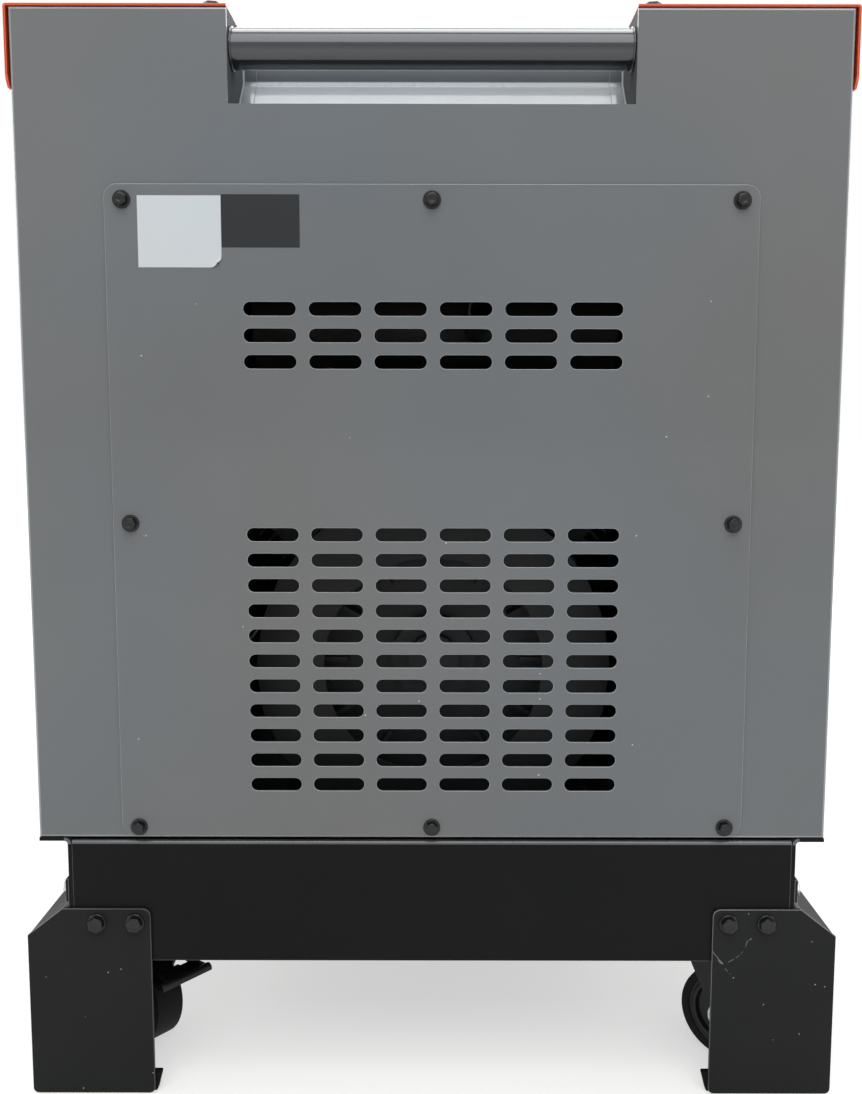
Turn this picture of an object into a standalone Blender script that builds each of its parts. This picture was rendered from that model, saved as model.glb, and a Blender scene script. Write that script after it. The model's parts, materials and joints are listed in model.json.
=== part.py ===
"""Engine driven machine in a sound-deadening enclosure, on a skid base with bolted stands and casters.

X is the width, Y the length with the rear end at -Y, Z is up. Left is -X, as seen from the rear end.
The origin is the centre of the footprint, on the floor. Sizes are in metres.
"""

import math

import bmesh
import bpy
from mathutils import Matrix, Vector

# ------------------------------------------------------------------ driving dimensions
FIT = 0.0003  # gap between two pieces that touch
SHEET = 0.002  # sheet metal of the enclosure
PLATE = 0.003  # plate of the base, the stands and the casters

BODY_WIDTH = 0.700
BODY_LENGTH = 1.150
BODY_HEIGHT = 0.709
CORNER_BEND = 0.003
END_RETURN = 0.040  # how far an end panel wraps round the corner
END_LIP = 0.030

GROUND_CLEARANCE = 0.125
BASE_INSET = 0.025  # the rails stand in from the body's sides
BASE_HEIGHT = 0.1147
RAIL_FOOT = 0.120
BASE_LIP = 0.020

HOOD_OVERHANG = 0.0042  # how far the hood's flange stands out from the body's side
HOOD_FLANGE = 0.059
HOOD_HEM = 0.0087
HOOD_BOLT_X = 0.190
HOOD_BOLT_INSET = 0.020

POCKET_WIDTH = 0.340
NOTCH_DEPTH = 0.0774
POCKET_DEPTH = 0.078
POCKET_BACK = 0.041  # height of the pocket's upright back wall
POCKET_FLOOR = 0.088
POCKET_FLOOR_DEPTH = 0.034
HANDLE_RADIUS = 0.01685
HANDLE_WALL = 0.003
HANDLE_DROP = 0.0273
HANDLE_INSET = 0.022

ACCESS_WIDTH = 0.550
ACCESS_DROP = 0.1425  # from the body's top to the access panel
ACCESS_LIFT = 0.0025
ACCESS_CORNER = 0.011
ACCESS_OVERLAP = 0.035  # how far the access panel laps over the opening behind it
ACCESS_OVERLAP_Z = 0.024
ACCESS_BOLT_INSET = 0.013
ACCESS_BOLT_DROP = 0.0095
ACCESS_MIDDLE_BOLT = 0.2835  # from the panel's top edge to its middle bolts

SLOT_LENGTH = 0.0445
SLOT_HEIGHT = 0.011
SLOT_PITCH_X = 0.0556
SLOT_PITCH_Z = 0.0222
SLOT_COLUMNS = 6
UPPER_SLOT_ROWS = 3
LOWER_SLOT_ROWS = 11
UPPER_SLOT_DROP = 0.1018  # from the access panel's top to the first row of each group
LOWER_SLOT_DROP = 0.2940

STAND_LAP = 0.073  # how far the stand's plate reaches in from the rail's outer face
STAND_REACH = 0.038  # and out from it
STAND_HEIGHT = 0.175
STAND_SHOULDER = 0.150
STAND_CHAMFER = 0.032
STAND_TAB_HEIGHT = 0.201
STAND_FOOT = 0.018  # inward fold along the guard's lower edge, outside the wheel's sweep
STAND_LENGTH = 0.150
STAND_BOLT_INSETS = (0.059, 0.025)
STAND_BOLT_Z = 0.162
TAB_BOLT_Z = 0.188
TAB_BOLT_INSET = 0.018

BOLT_FLANGE_RADIUS = 0.0085
BOLT_FLANGE = 0.0018
BOLT_HEX_RADIUS = 0.0072
BOLT_HEIGHT = 0.0070

CASTER_FROM_RAIL = 0.055
CASTER_INSET = 0.075
CASTER_PLATE_X = 0.085
CASTER_PLATE_Y = 0.100
CASTER_PLATE = 0.004
CASTER_TRAIL = 0.022
WHEEL_RADIUS = 0.045
WHEEL_WIDTH = 0.030
WHEEL_LIFT = 0.004  # the stands carry the load, so the wheels hang just clear of the floor
CUP_RADIUS = 0.027
CUP_HEIGHT = 0.008
KINGPIN_RADIUS = 0.006
AXLE_RADIUS = 0.005
AXLE_NUT_RADIUS = 0.010
AXLE_NUT = 0.006
PEDAL_HALF_WIDTH = 0.029
PEDAL_REACH = 0.050
CASTER_HEADINGS = {  # compass of the trailing wheel, in degrees from +X
    "rear_left": 141.9,
    "rear_right": -35.6,
    "front_left": -118.0,
    "front_right": -62.0,
}

DOOR_LENGTH = 0.660
DOOR_DROP = 0.089  # from the body's top to the door opening
DOOR_LIFT = 0.060  # from the body's underside to it
DOOR_GAP = 0.0025
DOOR_RETURN = 0.010
COLLAR_DEPTH = 0.012
HINGE_RADIUS = 0.0050
HINGE_PIN_RADIUS = 0.0022
HINGE_STANDOFF = 0.0065  # hinge axis outside the body's side
HINGE_HEIGHT = 0.060
HINGE_DROP = 0.090
LATCH_INSET = 0.035
LATCH_SPINDLE_RADIUS = 0.006
LATCH_REACH = 0.048
LOUVRE_LENGTH = 0.150
LOUVRE_SPACE = 0.050
LOUVRE_HEIGHT = 0.009
LOUVRE_PITCH = 0.026
LOUVRE_ROWS = 6
LOUVRE_LIFT = 0.250  # from the opening's lower edge to the top row

CONTROL_WIDTH = 0.440
CONTROL_HEIGHT = 0.280
CONTROL_DROP = 0.129  # from the body's top to the control recess
CONTROL_DEPTH = 0.045
INTAKE_ROWS = 6
INTAKE_DROP = 0.480  # from the body's top to the first row
SWITCH_ROW = 0.060  # rows of controls, below the recess's top
SOCKET_ROW = 0.200
KEY_X = 0.170
STOP_X = 0.100
BREAKER_X = 0.000
THREE_PHASE_X = 0.110
SINGLE_PHASE_X = -0.030
KEY_STEM_RADIUS = 0.004
STOP_STEM_RADIUS = 0.010
STOP_HEAD_RADIUS = 0.020
STOP_TRAVEL = 0.006
BREAKER_SIZE = (0.054, 0.022, 0.083)
TOGGLE_TILT = 25  # degrees below level when the breaker is off
THREE_PHASE_RADIUS = 0.031
SINGLE_PHASE_RADIUS = 0.024

TANK_SIDE_GAP = 0.080
TANK_FRONT_GAP = 0.135
TANK_LENGTH = 0.320
TANK_HEIGHT = 0.125
TANK_DROP = 0.024
TANK_WALL = 0.003
LUG_DROP = 0.040
LUG_INSET = 0.040
FILLER_X = -0.160
FILLER_INSET = 0.140  # back from the tank's front wall
FILLER_RADIUS = 0.028
CAP_RADIUS = 0.036
CAP_HEIGHT = 0.0085

SHAFT_HEIGHT = 0.375
SHAFT_RADIUS = 0.025
SHAFT_CLEARANCE = 0.0006
ENGINE_INSET = 0.205  # from the rear end of the body
ENGINE_LENGTH = 0.280
CRADLE_OVERRUN = 0.090  # past the crankcase, under the blower
CRADLE_SHORTFALL = 0.020  # short of the alternator's front
CRADLE_HEIGHT = 0.040
CRADLE_HALF_WIDTH = 0.170
CRADLE_BEAM = 0.040
CRANK_CHAMBER_RADIUS = 0.085
CRANK_THROW = 0.040
DECK_REACH = 0.1414  # crankshaft axis to the cylinders' seats
CYLINDER_STAGGER = 0.015
FAN_RADIUS = 0.150
FAN_BLADES = 12
BLOWER_RADIUS = 0.170
BLOWER_DEPTH = 0.110
ALTERNATOR_RADIUS = 0.150
ALTERNATOR_BORE = 0.118
ALTERNATOR_LENGTH = 0.350
ROTOR_RADIUS = 0.100
JOURNAL_RADIUS = 0.020
MUFFLER_RADIUS = 0.060
MUFFLER_HEIGHT = 0.720
MUFFLER_LENGTH = 0.400
TAIL_PIPE_INSET = 0.080
BATTERY_SIDE_GAP = 0.060
BATTERY_FRONT_GAP = 0.075
BATTERY_SIZE = (0.240, 0.170, 0.190)

# ------------------------------------------------------------------ sizes that follow from them
HALF_WIDTH = BODY_WIDTH / 2
HALF_LENGTH = BODY_LENGTH / 2
RAIL_X = HALF_WIDTH - BASE_INSET
BASE_TOP = GROUND_CLEARANCE + BASE_HEIGHT
BODY_BOTTOM = BASE_TOP + FIT
BODY_TOP = BODY_BOTTOM + BODY_HEIGHT
HOOD_BOTTOM = BODY_TOP + FIT
HOOD_TOP = HOOD_BOTTOM + 0.0022
FLOOR_TOP = GROUND_CLEARANCE + 2 * PLATE + FIT
CRADLE_TOP = FLOOR_TOP + FIT + CRADLE_HEIGHT
ENGINE_FOOT = CRADLE_TOP + FIT
CONTROL_TOP = BODY_TOP - CONTROL_DROP
CONTROL_BOTTOM = CONTROL_TOP - CONTROL_HEIGHT
CONTROL_FACE = HALF_LENGTH - CONTROL_DEPTH
ACCESS_BOTTOM = BODY_BOTTOM + ACCESS_LIFT
ACCESS_TOP = BODY_TOP - ACCESS_DROP
DOOR_BOTTOM = BODY_BOTTOM + DOOR_LIFT
DOOR_TOP = BODY_TOP - DOOR_DROP
HINGE_X = HALF_WIDTH + HINGE_STANDOFF
HINGE_Y = DOOR_LENGTH / 2
STAND_INNER = RAIL_X - STAND_LAP
STAND_OUTER = RAIL_X + STAND_REACH
CASTER_X = RAIL_X - CASTER_FROM_RAIL
TANK_HALF_WIDTH = HALF_WIDTH - TANK_SIDE_GAP
TANK_FRONT = HALF_LENGTH - TANK_FRONT_GAP
TANK_REAR = TANK_FRONT - TANK_LENGTH
FILLER_Y = TANK_FRONT - FILLER_INSET
ENGINE_REAR = -HALF_LENGTH + ENGINE_INSET
ENGINE_FRONT = ENGINE_REAR + ENGINE_LENGTH
ENGINE_MIDDLE = (ENGINE_REAR + ENGINE_FRONT) / 2
ALTERNATOR_FRONT = ENGINE_FRONT + ALTERNATOR_LENGTH
CRADLE_REAR = ENGINE_REAR - CRADLE_OVERRUN
CRADLE_FRONT = ALTERNATOR_FRONT - CRADLE_SHORTFALL
TAIL_PIPE_END = -HALF_LENGTH + TAIL_PIPE_INSET
PAST = 0.010  # how far a cutter runs past what it cuts
SINK = 0.001  # how far a joined shape sinks into its neighbour

SIDES = {"left": -1, "right": 1}
ENDS = {"rear": -1, "front": 1}


# ------------------------------------------------------------------ modelling helpers
def new_collection(name):
    collection = bpy.data.collections.new(name)
    bpy.context.scene.collection.children.link(collection)
    return collection


def shape(name, mesh):
    """A working shape: it stays hidden unless keep() makes it a part."""
    obj = bpy.data.objects.new(name, mesh)
    SHAPES.objects.link(obj)
    obj.hide_render = True
    obj.display_type = "WIRE"
    return obj


def from_bmesh(name, bm):
    mesh = bpy.data.meshes.new(name)
    bm.to_mesh(mesh)
    bm.free()
    return shape(name, mesh)


def box(name, corner, opposite):
    bm = bmesh.new()
    bmesh.ops.create_cube(bm, size=1.0)
    corner = Vector(corner)
    opposite = Vector(opposite)
    size = [abs(a - b) for a, b in zip(corner, opposite)]
    bmesh.ops.scale(bm, vec=size, verts=bm.verts)
    bmesh.ops.translate(bm, vec=(corner + opposite) / 2, verts=bm.verts)
    return from_bmesh(name, bm)


def rod(name, radius, start, end, sides=16):
    start = Vector(start)
    end = Vector(end)
    run = end - start
    turn = run.to_track_quat("Z", "Y").to_matrix().to_4x4()
    bm = bmesh.new()
    bmesh.ops.create_cone(
        bm,
        cap_ends=True,
        segments=sides,
        radius1=radius,
        radius2=radius,
        depth=run.length,
        matrix=Matrix.Translation((start + end) / 2) @ turn,
    )
    return from_bmesh(name, bm)


def baked(source, placement):
    """The evaluated source as a plain mesh in its place, with its seams welded."""
    bpy.context.view_layer.update()
    depsgraph = bpy.context.evaluated_depsgraph_get()
    mesh = bpy.data.meshes.new_from_object(source.evaluated_get(depsgraph))
    mesh.transform(placement)
    name = source.name
    bpy.data.objects.remove(source)
    bm = bmesh.new()
    bm.from_mesh(mesh)
    bpy.data.meshes.remove(mesh)
    bmesh.ops.remove_doubles(bm, verts=bm.verts, dist=0.00001)
    bmesh.ops.recalc_face_normals(bm, faces=bm.faces)
    return from_bmesh(name, bm)


def prism(name, outline, axis, start, end):
    """A flat outline run along an axis. Its points are the other two coordinates, in X, Y, Z order."""
    curve = bpy.data.curves.new(name, "CURVE")
    curve.dimensions = "2D"
    curve.fill_mode = "BOTH"
    curve.extrude = abs(end - start) / 2
    spline = curve.splines.new("POLY")
    spline.points.add(len(outline) - 1)
    for point, (u, v) in zip(spline.points, outline):
        point.co = (u, v, 0.0, 1.0)
    spline.use_cyclic_u = True
    middle = (start + end) / 2
    turns = {
        "X": Matrix(((0, 0, 1), (1, 0, 0), (0, 1, 0))),
        "Y": Matrix(((1, 0, 0), (0, 0, -1), (0, 1, 0))),
        "Z": Matrix.Identity(3),
    }
    offset = Vector([middle if axis == letter else 0.0 for letter in "XYZ"])
    return baked(shape(name, curve), Matrix.Translation(offset) @ turns[axis].to_4x4())


def turned(name, profile, steps, placement, closed=True):
    """A profile of (radius, height) points, running down its outer side, turned about Z, then placed."""
    bm = bmesh.new()
    points = [bm.verts.new((radius, 0.0, height)) for radius, height in profile]
    for first, second in zip(points, points[1:]):
        bm.edges.new((first, second))
    if closed:
        bm.edges.new((points[-1], points[0]))
    obj = from_bmesh(name, bm)
    screw = obj.modifiers.new("turn", "SCREW")
    screw.steps = steps
    screw.render_steps = steps
    screw.use_merge_vertices = True
    screw.merge_threshold = 0.00001
    return baked(obj, placement)


def bent_tube(name, points, radius):
    curve = bpy.data.curves.new(name, "CURVE")
    curve.dimensions = "3D"
    curve.bevel_depth = radius
    curve.bevel_resolution = 1
    curve.use_fill_caps = True
    spline = curve.splines.new("POLY")
    spline.points.add(len(points) - 1)
    for point, place in zip(spline.points, points):
        point.co = (*place, 1.0)
    return baked(shape(name, curve), Matrix.Identity(4))


def rounded(outline, radii, steps=3):
    """The outline with an arc at each corner whose radius isn't 0."""
    result = []
    count = len(outline)
    for index, (corner, radius) in enumerate(zip(outline, radii)):
        if radius == 0:
            result.append(corner)
            continue
        corner = Vector(corner)
        before = (Vector(outline[index - 1]) - corner).normalized()
        after = (Vector(outline[(index + 1) % count]) - corner).normalized()
        half = before.angle(after) / 2
        centre = corner + (before + after).normalized() * radius / math.sin(half)
        start = corner + before * radius / math.tan(half) - centre
        end = corner + after * radius / math.tan(half) - centre
        sweep = start.angle_signed(end)
        for step in range(steps + 1):
            arm = start.copy()
            arm.rotate(Matrix.Rotation(-sweep * step / steps, 2))
            result.append(tuple(centre + arm))
    return result


def boolean(obj, tool, operation):
    modifier = obj.modifiers.new(tool.name, "BOOLEAN")
    modifier.operation = operation
    modifier.solver = "EXACT"
    modifier.object = tool


def cut(obj, *tools):
    for tool in tools:
        boolean(obj, tool, "DIFFERENCE")


def join(obj, *tools):
    for tool in tools:
        boolean(obj, tool, "UNION")


def placed(placement, *objects):
    for obj in objects:
        obj.data.transform(placement)


def keep(obj, name, material, origin=None):
    """Makes a shape a part, with its origin on its joint's axis if it moves."""
    SHAPES.objects.unlink(obj)
    PARTS.objects.link(obj)
    obj.name = name
    obj.hide_render = False
    obj.display_type = "TEXTURED"
    if origin is not None:
        obj.data.transform(Matrix.Translation(-Vector(origin)))
        obj.location = origin
    obj.data.shade_smooth()
    obj.data.set_sharp_from_angle(angle=math.radians(35))
    obj.data.materials.clear()
    obj.data.materials.append(material.copy())
    obj.data.materials[0].name = name
    return obj


def paint(name, colour, roughness, metallic=0.0):
    material = bpy.data.materials.new(name)
    material.use_nodes = True
    shader = material.node_tree.nodes["Principled BSDF"]
    shader.inputs["Base Color"].default_value = (*colour, 1.0)
    shader.inputs["Roughness"].default_value = roughness
    shader.inputs["Metallic"].default_value = metallic
    return material


def repeat(cutter, count, step):
    """Copies of a cutter, each a step on from the last, as separate bodies of one object."""
    array = cutter.modifiers.new("repeat", "ARRAY")
    array.count = count
    array.use_relative_offset = False
    array.use_constant_offset = True
    array.constant_offset_displace = step


def bolt(name, seat, direction):
    """A flanged hex bolt head, sunk a little into the piece that it clamps."""
    profile = [
        (0.0, BOLT_HEIGHT),
        (BOLT_HEX_RADIUS, BOLT_HEIGHT),
        (BOLT_HEX_RADIUS, BOLT_FLANGE),
        (BOLT_FLANGE_RADIUS, BOLT_FLANGE),
        (BOLT_FLANGE_RADIUS, -SINK),
        (0.0, -SINK),
    ]
    turn = Vector(direction).to_track_quat("Z", "Y").to_matrix().to_4x4()
    return turned(name, profile, 6, Matrix.Translation(seat) @ turn, closed=False)


# ------------------------------------------------------------------ skid base
def base_rail(side_name):
    """A folded Z rail: foot inward, upright web, top flange outward under the body's side."""
    side = SIDES[side_name]
    outline = [
        (RAIL_X - RAIL_FOOT, GROUND_CLEARANCE),
        (RAIL_X, GROUND_CLEARANCE),
        (RAIL_X, BASE_TOP - PLATE),
        (HALF_WIDTH, BASE_TOP - PLATE),
        (HALF_WIDTH, BASE_TOP),
        (RAIL_X - PLATE, BASE_TOP),
        (RAIL_X - PLATE, GROUND_CLEARANCE + PLATE),
        (RAIL_X - RAIL_FOOT, GROUND_CLEARANCE + PLATE),
    ]
    name = f"{side_name}_base_rail"
    rail = prism(name, [(side * x, z) for x, z in outline], "Y", -HALF_LENGTH, HALF_LENGTH)
    for end_name, end in ENDS.items():
        relief = box(
            f"{name}_{end_name}_relief",
            (side * (RAIL_X - RAIL_FOOT - PAST), end * (HALF_LENGTH - PLATE - FIT), GROUND_CLEARANCE - PAST),
            (side * (RAIL_X - PLATE), end * (HALF_LENGTH + PAST), GROUND_CLEARANCE + 2 * PLATE),
        )
        cut(rail, relief)
    keep(rail, name, BLACK)


def base_end_plate(end_name):
    end = ENDS[end_name]
    outline = [
        (end * HALF_LENGTH, GROUND_CLEARANCE),
        (end * HALF_LENGTH, BASE_TOP),
        (end * (HALF_LENGTH - BASE_LIP), BASE_TOP),
        (end * (HALF_LENGTH - BASE_LIP), BASE_TOP - PLATE),
        (end * (HALF_LENGTH - PLATE), BASE_TOP - PLATE),
        (end * (HALF_LENGTH - PLATE), GROUND_CLEARANCE),
    ]
    reach = RAIL_X - PLATE - FIT
    name = f"{end_name}_base_plate"
    keep(prism(name, outline, "X", -reach, reach), name, BLACK)


def base_floor():
    x = RAIL_X - PLATE - FIT
    y = HALF_LENGTH - PLATE - FIT
    tray = box("base_floor", (-x, -y, FLOOR_TOP - PLATE), (x, y, FLOOR_TOP))
    keep(tray, "base_floor", BLACK)


def stand(end_name, side_name):
    """Folded leg: plate across the base's end, guard along the side, sloped shoulder, tab on the rail."""
    end = ENDS[end_name]
    side = SIDES[side_name]
    name = f"{end_name}_{side_name}_stand"
    inner_face = HALF_LENGTH + FIT
    outer_face = inner_face + PLATE
    face = [
        (STAND_INNER, 0.0),
        (STAND_OUTER, 0.0),
        (STAND_OUTER, STAND_SHOULDER),
        (STAND_OUTER - STAND_CHAMFER, STAND_HEIGHT),
        (STAND_INNER, STAND_HEIGHT),
    ]
    face = rounded(face, (0.005, 0.005, 0, 0, 0.007), steps=2)
    leg = prism(name, [(side * x, z) for x, z in face], "Y", end * inner_face, end * outer_face)
    tab = RAIL_X + FIT
    slope = (STAND_HEIGHT - STAND_SHOULDER) / STAND_CHAMFER
    shoulder = STAND_SHOULDER + (STAND_OUTER - tab - PLATE) * slope
    guard = [
        (STAND_OUTER, PLATE / 2),
        (STAND_OUTER, STAND_SHOULDER),
        (tab + PLATE, shoulder),
        (tab + PLATE, STAND_TAB_HEIGHT),
        (tab, STAND_TAB_HEIGHT),
        (tab, shoulder - PLATE / 2),
        (STAND_OUTER - PLATE, STAND_SHOULDER - PLATE / 2),
        (STAND_OUTER - PLATE, PLATE / 2),
    ]
    far = outer_face - STAND_LENGTH
    near = outer_face - PLATE / 6
    join(leg, prism(f"{name}_guard", [(side * x, z) for x, z in guard], "Y", end * far, end * near))
    foot = box(
        f"{name}_foot",
        (side * (STAND_OUTER - PLATE / 6), end * far, 0.0),
        (side * (STAND_OUTER - STAND_FOOT), end * near, PLATE),
    )
    join(leg, foot)
    for number, inset in enumerate(STAND_BOLT_INSETS):
        seat = (side * (RAIL_X - inset), end * outer_face, STAND_BOLT_Z)
        join(leg, bolt(f"{name}_bolt_{number}", seat, (0, end, 0)))
    for number, inset in enumerate((TAB_BOLT_INSET, STAND_LENGTH - TAB_BOLT_INSET)):
        seat = (side * (tab + PLATE), end * (outer_face - inset), TAB_BOLT_Z)
        join(leg, bolt(f"{name}_tab_bolt_{number}", seat, (side, 0, 0)))
    keep(leg, name, STAND_BLACK)


# ------------------------------------------------------------------ casters
def caster(end_name, side_name):
    """Top plate with its ball cup and kingpin, swivelling fork, wheel, and on the left a brake pedal."""
    corner = f"{end_name}_{side_name}"
    swivel = Vector((SIDES[side_name] * CASTER_X, ENDS[end_name] * (HALF_LENGTH - CASTER_INSET), 0.0))
    shift = Matrix.Translation(swivel)
    heading = math.radians(CASTER_HEADINGS[corner])
    turn = shift @ Matrix.Rotation(heading, 4, "Z")
    plate_top = GROUND_CLEARANCE - FIT
    plate_bottom = plate_top - CASTER_PLATE
    cup_bottom = plate_bottom - CUP_HEIGHT
    crown_top = cup_bottom - FIT
    crown_bottom = crown_top - PLATE
    axle_z = WHEEL_LIFT + WHEEL_RADIUS

    plate = box(
        "plate",
        (-CASTER_PLATE_X / 2, -CASTER_PLATE_Y / 2, plate_bottom),
        (CASTER_PLATE_X / 2, CASTER_PLATE_Y / 2, plate_top),
    )
    cup = rod("cup", CUP_RADIUS, (0, 0, cup_bottom), (0, 0, plate_bottom + SINK))
    kingpin_end = crown_bottom - FIT - 0.003
    kingpin = rod("kingpin", KINGPIN_RADIUS, (0, 0, kingpin_end), (0, 0, cup_bottom + SINK), sides=12)
    head = rod("kingpin_head", KINGPIN_RADIUS * 1.6, (0, 0, kingpin_end), (0, 0, crown_bottom - FIT), sides=6)
    placed(shift, plate, cup, kingpin, head)
    join(plate, cup, kingpin, head)
    keep(plate, f"{corner}_caster_plate", BLACK_STEEL)

    leg_inner = WHEEL_WIDTH / 2 + 0.0018
    leg_outer = leg_inner + PLATE
    fork = box("crown", (-0.022, -leg_outer + 0.0002, crown_bottom), (0.028, leg_outer - 0.0002, crown_top))
    boss = 0.012
    leg_outline = [(-0.022, crown_top - 0.0002), (CASTER_TRAIL - boss, axle_z)]
    for step in range(1, 4):
        angle = math.pi * (1 + step / 4)
        leg_outline.append((CASTER_TRAIL + boss * math.cos(angle), axle_z + boss * math.sin(angle)))
    leg_outline += [(CASTER_TRAIL + boss, axle_z), (0.028, crown_top - 0.0002)]
    tools = []
    for side_of_fork in (-1, 1):
        leg = prism(
            "fork_leg", leg_outline, "Y", side_of_fork * leg_inner, side_of_fork * leg_outer
        )
        nut = rod(
            "axle_nut",
            AXLE_NUT_RADIUS,
            (CASTER_TRAIL, side_of_fork * (leg_outer - SINK), axle_z),
            (CASTER_TRAIL, side_of_fork * (leg_outer + AXLE_NUT), axle_z),
            sides=6,
        )
        tools += [leg, nut]
    reach = leg_inner + SINK
    axle = rod("axle", AXLE_RADIUS, (CASTER_TRAIL, -reach, axle_z), (CASTER_TRAIL, reach, axle_z), sides=12)
    tools.append(axle)
    pedal_pivot = (-0.006, crown_bottom - 0.0145)
    if side_name == "left":
        stub_reach = leg_outer + PLATE + FIT
        for side_of_fork in (-1, 1):
            stub = rod(
                "pedal_pin",
                0.003,
                (pedal_pivot[0], side_of_fork * (leg_outer - SINK), pedal_pivot[1]),
                (pedal_pivot[0], side_of_fork * stub_reach, pedal_pivot[1]),
                sides=8,
            )
            tools.append(stub)
    hole_low = (0, 0, crown_bottom - PAST / 4)
    hole = rod("kingpin_hole", KINGPIN_RADIUS + FIT, hole_low, (0, 0, crown_top + PAST), sides=12)
    placed(turn, fork, hole, *tools)
    join(fork, *tools)
    cut(fork, hole)
    keep(fork, f"{corner}_caster_fork", BLACK_STEEL, origin=swivel)

    half = WHEEL_WIDTH / 2
    bore = AXLE_RADIUS + FIT
    hub = leg_inner - FIT
    profile = [
        (WHEEL_RADIUS * 0.93, half),
        (WHEEL_RADIUS, half * 0.62),
        (WHEEL_RADIUS, -half * 0.62),
        (WHEEL_RADIUS * 0.93, -half),
        (WHEEL_RADIUS * 0.70, -half),
        (WHEEL_RADIUS * 0.66, -half * 0.5),
        (WHEEL_RADIUS * 0.28, -half * 0.5),
        (WHEEL_RADIUS * 0.25, -hub),
        (bore, -hub),
        (bore, hub),
        (WHEEL_RADIUS * 0.25, hub),
        (WHEEL_RADIUS * 0.28, half * 0.5),
        (WHEEL_RADIUS * 0.66, half * 0.5),
        (WHEEL_RADIUS * 0.70, half),
    ]
    axle_place = turn @ Matrix.Translation((CASTER_TRAIL, 0, axle_z))
    wheel = turned("wheel", profile, 14, axle_place @ Matrix.Rotation(math.pi / 2, 4, "X"))
    keep(wheel, f"{corner}_caster_wheel", RUBBER, origin=axle_place.translation)

    if side_name == "left":
        brake_pedal(corner, turn, leg_outer, pedal_pivot)


def brake_pedal(corner, turn, leg_outer, pivot):
    """Foot pedal ahead of the wheel: a plate on two arms that straddle the fork, with a brake shoe."""
    pivot_x, pivot_z = pivot
    plate_top = pivot_z - 0.0078
    pedal = box(
        "pedal",
        (-PEDAL_REACH, -PEDAL_HALF_WIDTH, plate_top - 0.004),
        (-PEDAL_REACH + 0.025, PEDAL_HALF_WIDTH, plate_top),
    )
    arm = [
        (pivot_x + 0.006, pivot_z + 0.005),
        (pivot_x - 0.008, pivot_z + 0.006),
        (-PEDAL_REACH + 0.006, plate_top + 0.001),
        (-PEDAL_REACH + 0.006, plate_top - 0.005),
        (pivot_x - 0.006, pivot_z - 0.006),
        (pivot_x + 0.006, pivot_z - 0.005),
    ]
    tools = []
    holes = []
    for side_of_fork in (-1, 1):
        inner = side_of_fork * (leg_outer + FIT)
        outer = side_of_fork * (leg_outer + FIT + PLATE)
        tools.append(prism("pedal_arm", arm, "Y", inner, outer))
        holes.append(
            rod(
                "pedal_hole",
                0.003 + FIT,
                (pivot_x, inner - side_of_fork * SINK, pivot_z),
                (pivot_x, outer + side_of_fork * SINK, pivot_z),
                sides=8,
            )
        )
    shoe_low = (-PEDAL_REACH + 0.022, -0.012, plate_top - 0.008)
    shoe = box("shoe", shoe_low, (-PEDAL_REACH + 0.030, 0.012, plate_top - SINK))
    tools.append(shoe)
    placed(turn, pedal, *tools, *holes)
    join(pedal, *tools)
    cut(pedal, *holes)
    origin = turn @ Vector((pivot_x, 0, pivot_z))
    keep(pedal, f"{corner}_brake_pedal", BLACK_STEEL, origin=origin)


# ------------------------------------------------------------------ enclosure
def end_panel(end_name):
    """Sheet wrapped round both corners, with a lip under the hood and a notch over the handle."""
    end = ENDS[end_name]
    name = f"{end_name}_end_panel"
    back = HALF_LENGTH - END_RETURN
    inner = HALF_LENGTH - SHEET
    inside = HALF_WIDTH - SHEET
    outline = [
        (-HALF_WIDTH, back),
        (-HALF_WIDTH, HALF_LENGTH),
        (HALF_WIDTH, HALF_LENGTH),
        (HALF_WIDTH, back),
        (inside, back),
        (inside, inner),
        (-inside, inner),
        (-inside, back),
    ]
    bend = CORNER_BEND
    tight = CORNER_BEND - SHEET
    outline = rounded(outline, (0, bend, bend, 0, 0, tight, tight, 0), steps=2)
    panel = prism(name, [(x, end * y) for x, y in outline], "Z", BODY_BOTTOM, BODY_TOP)
    for lip_name, depth, low, high in (
        ("top", END_LIP, BODY_TOP - SHEET, BODY_TOP),
        ("bottom", BASE_LIP, BODY_BOTTOM, BODY_BOTTOM + SHEET),
    ):
        lip = box(
            f"{name}_{lip_name}_lip",
            (-inside - SHEET / 2, end * (HALF_LENGTH - depth), low),
            (inside + SHEET / 2, end * (inner + SHEET / 2), high),
        )
        join(panel, lip)
    half = POCKET_WIDTH / 2
    notch = box(
        f"{name}_notch",
        (-half, end * (back - PAST), BODY_TOP - NOTCH_DEPTH),
        (half, end * (HALF_LENGTH + PAST), BODY_TOP + PAST),
    )
    clear = half + SHEET + FIT
    lip_notch = box(
        f"{name}_lip_notch",
        (-clear, end * (back - PAST), BODY_TOP - 2 * SHEET),
        (clear, end * inner, BODY_TOP + PAST),
    )
    cut(panel, notch, lip_notch)
    if end_name == "rear":
        opening_half = ACCESS_WIDTH / 2 - ACCESS_OVERLAP
        opening = box(
            f"{name}_opening",
            (-opening_half, end * (HALF_LENGTH + PAST), ACCESS_BOTTOM + ACCESS_OVERLAP_Z),
            (opening_half, end * (inner - PAST / 2), ACCESS_TOP - ACCESS_OVERLAP_Z),
        )
        cut(panel, opening)
    else:
        opening = box(
            f"{name}_opening",
            (-CONTROL_WIDTH / 2, end * (HALF_LENGTH + PAST), CONTROL_BOTTOM),
            (CONTROL_WIDTH / 2, end * (inner - PAST / 2), CONTROL_TOP),
        )
        cut(panel, opening)
        cut(panel, slots(f"{name}_intake", INTAKE_ROWS, BODY_TOP - INTAKE_DROP, end))
    keep(panel, name, GREY)


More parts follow.
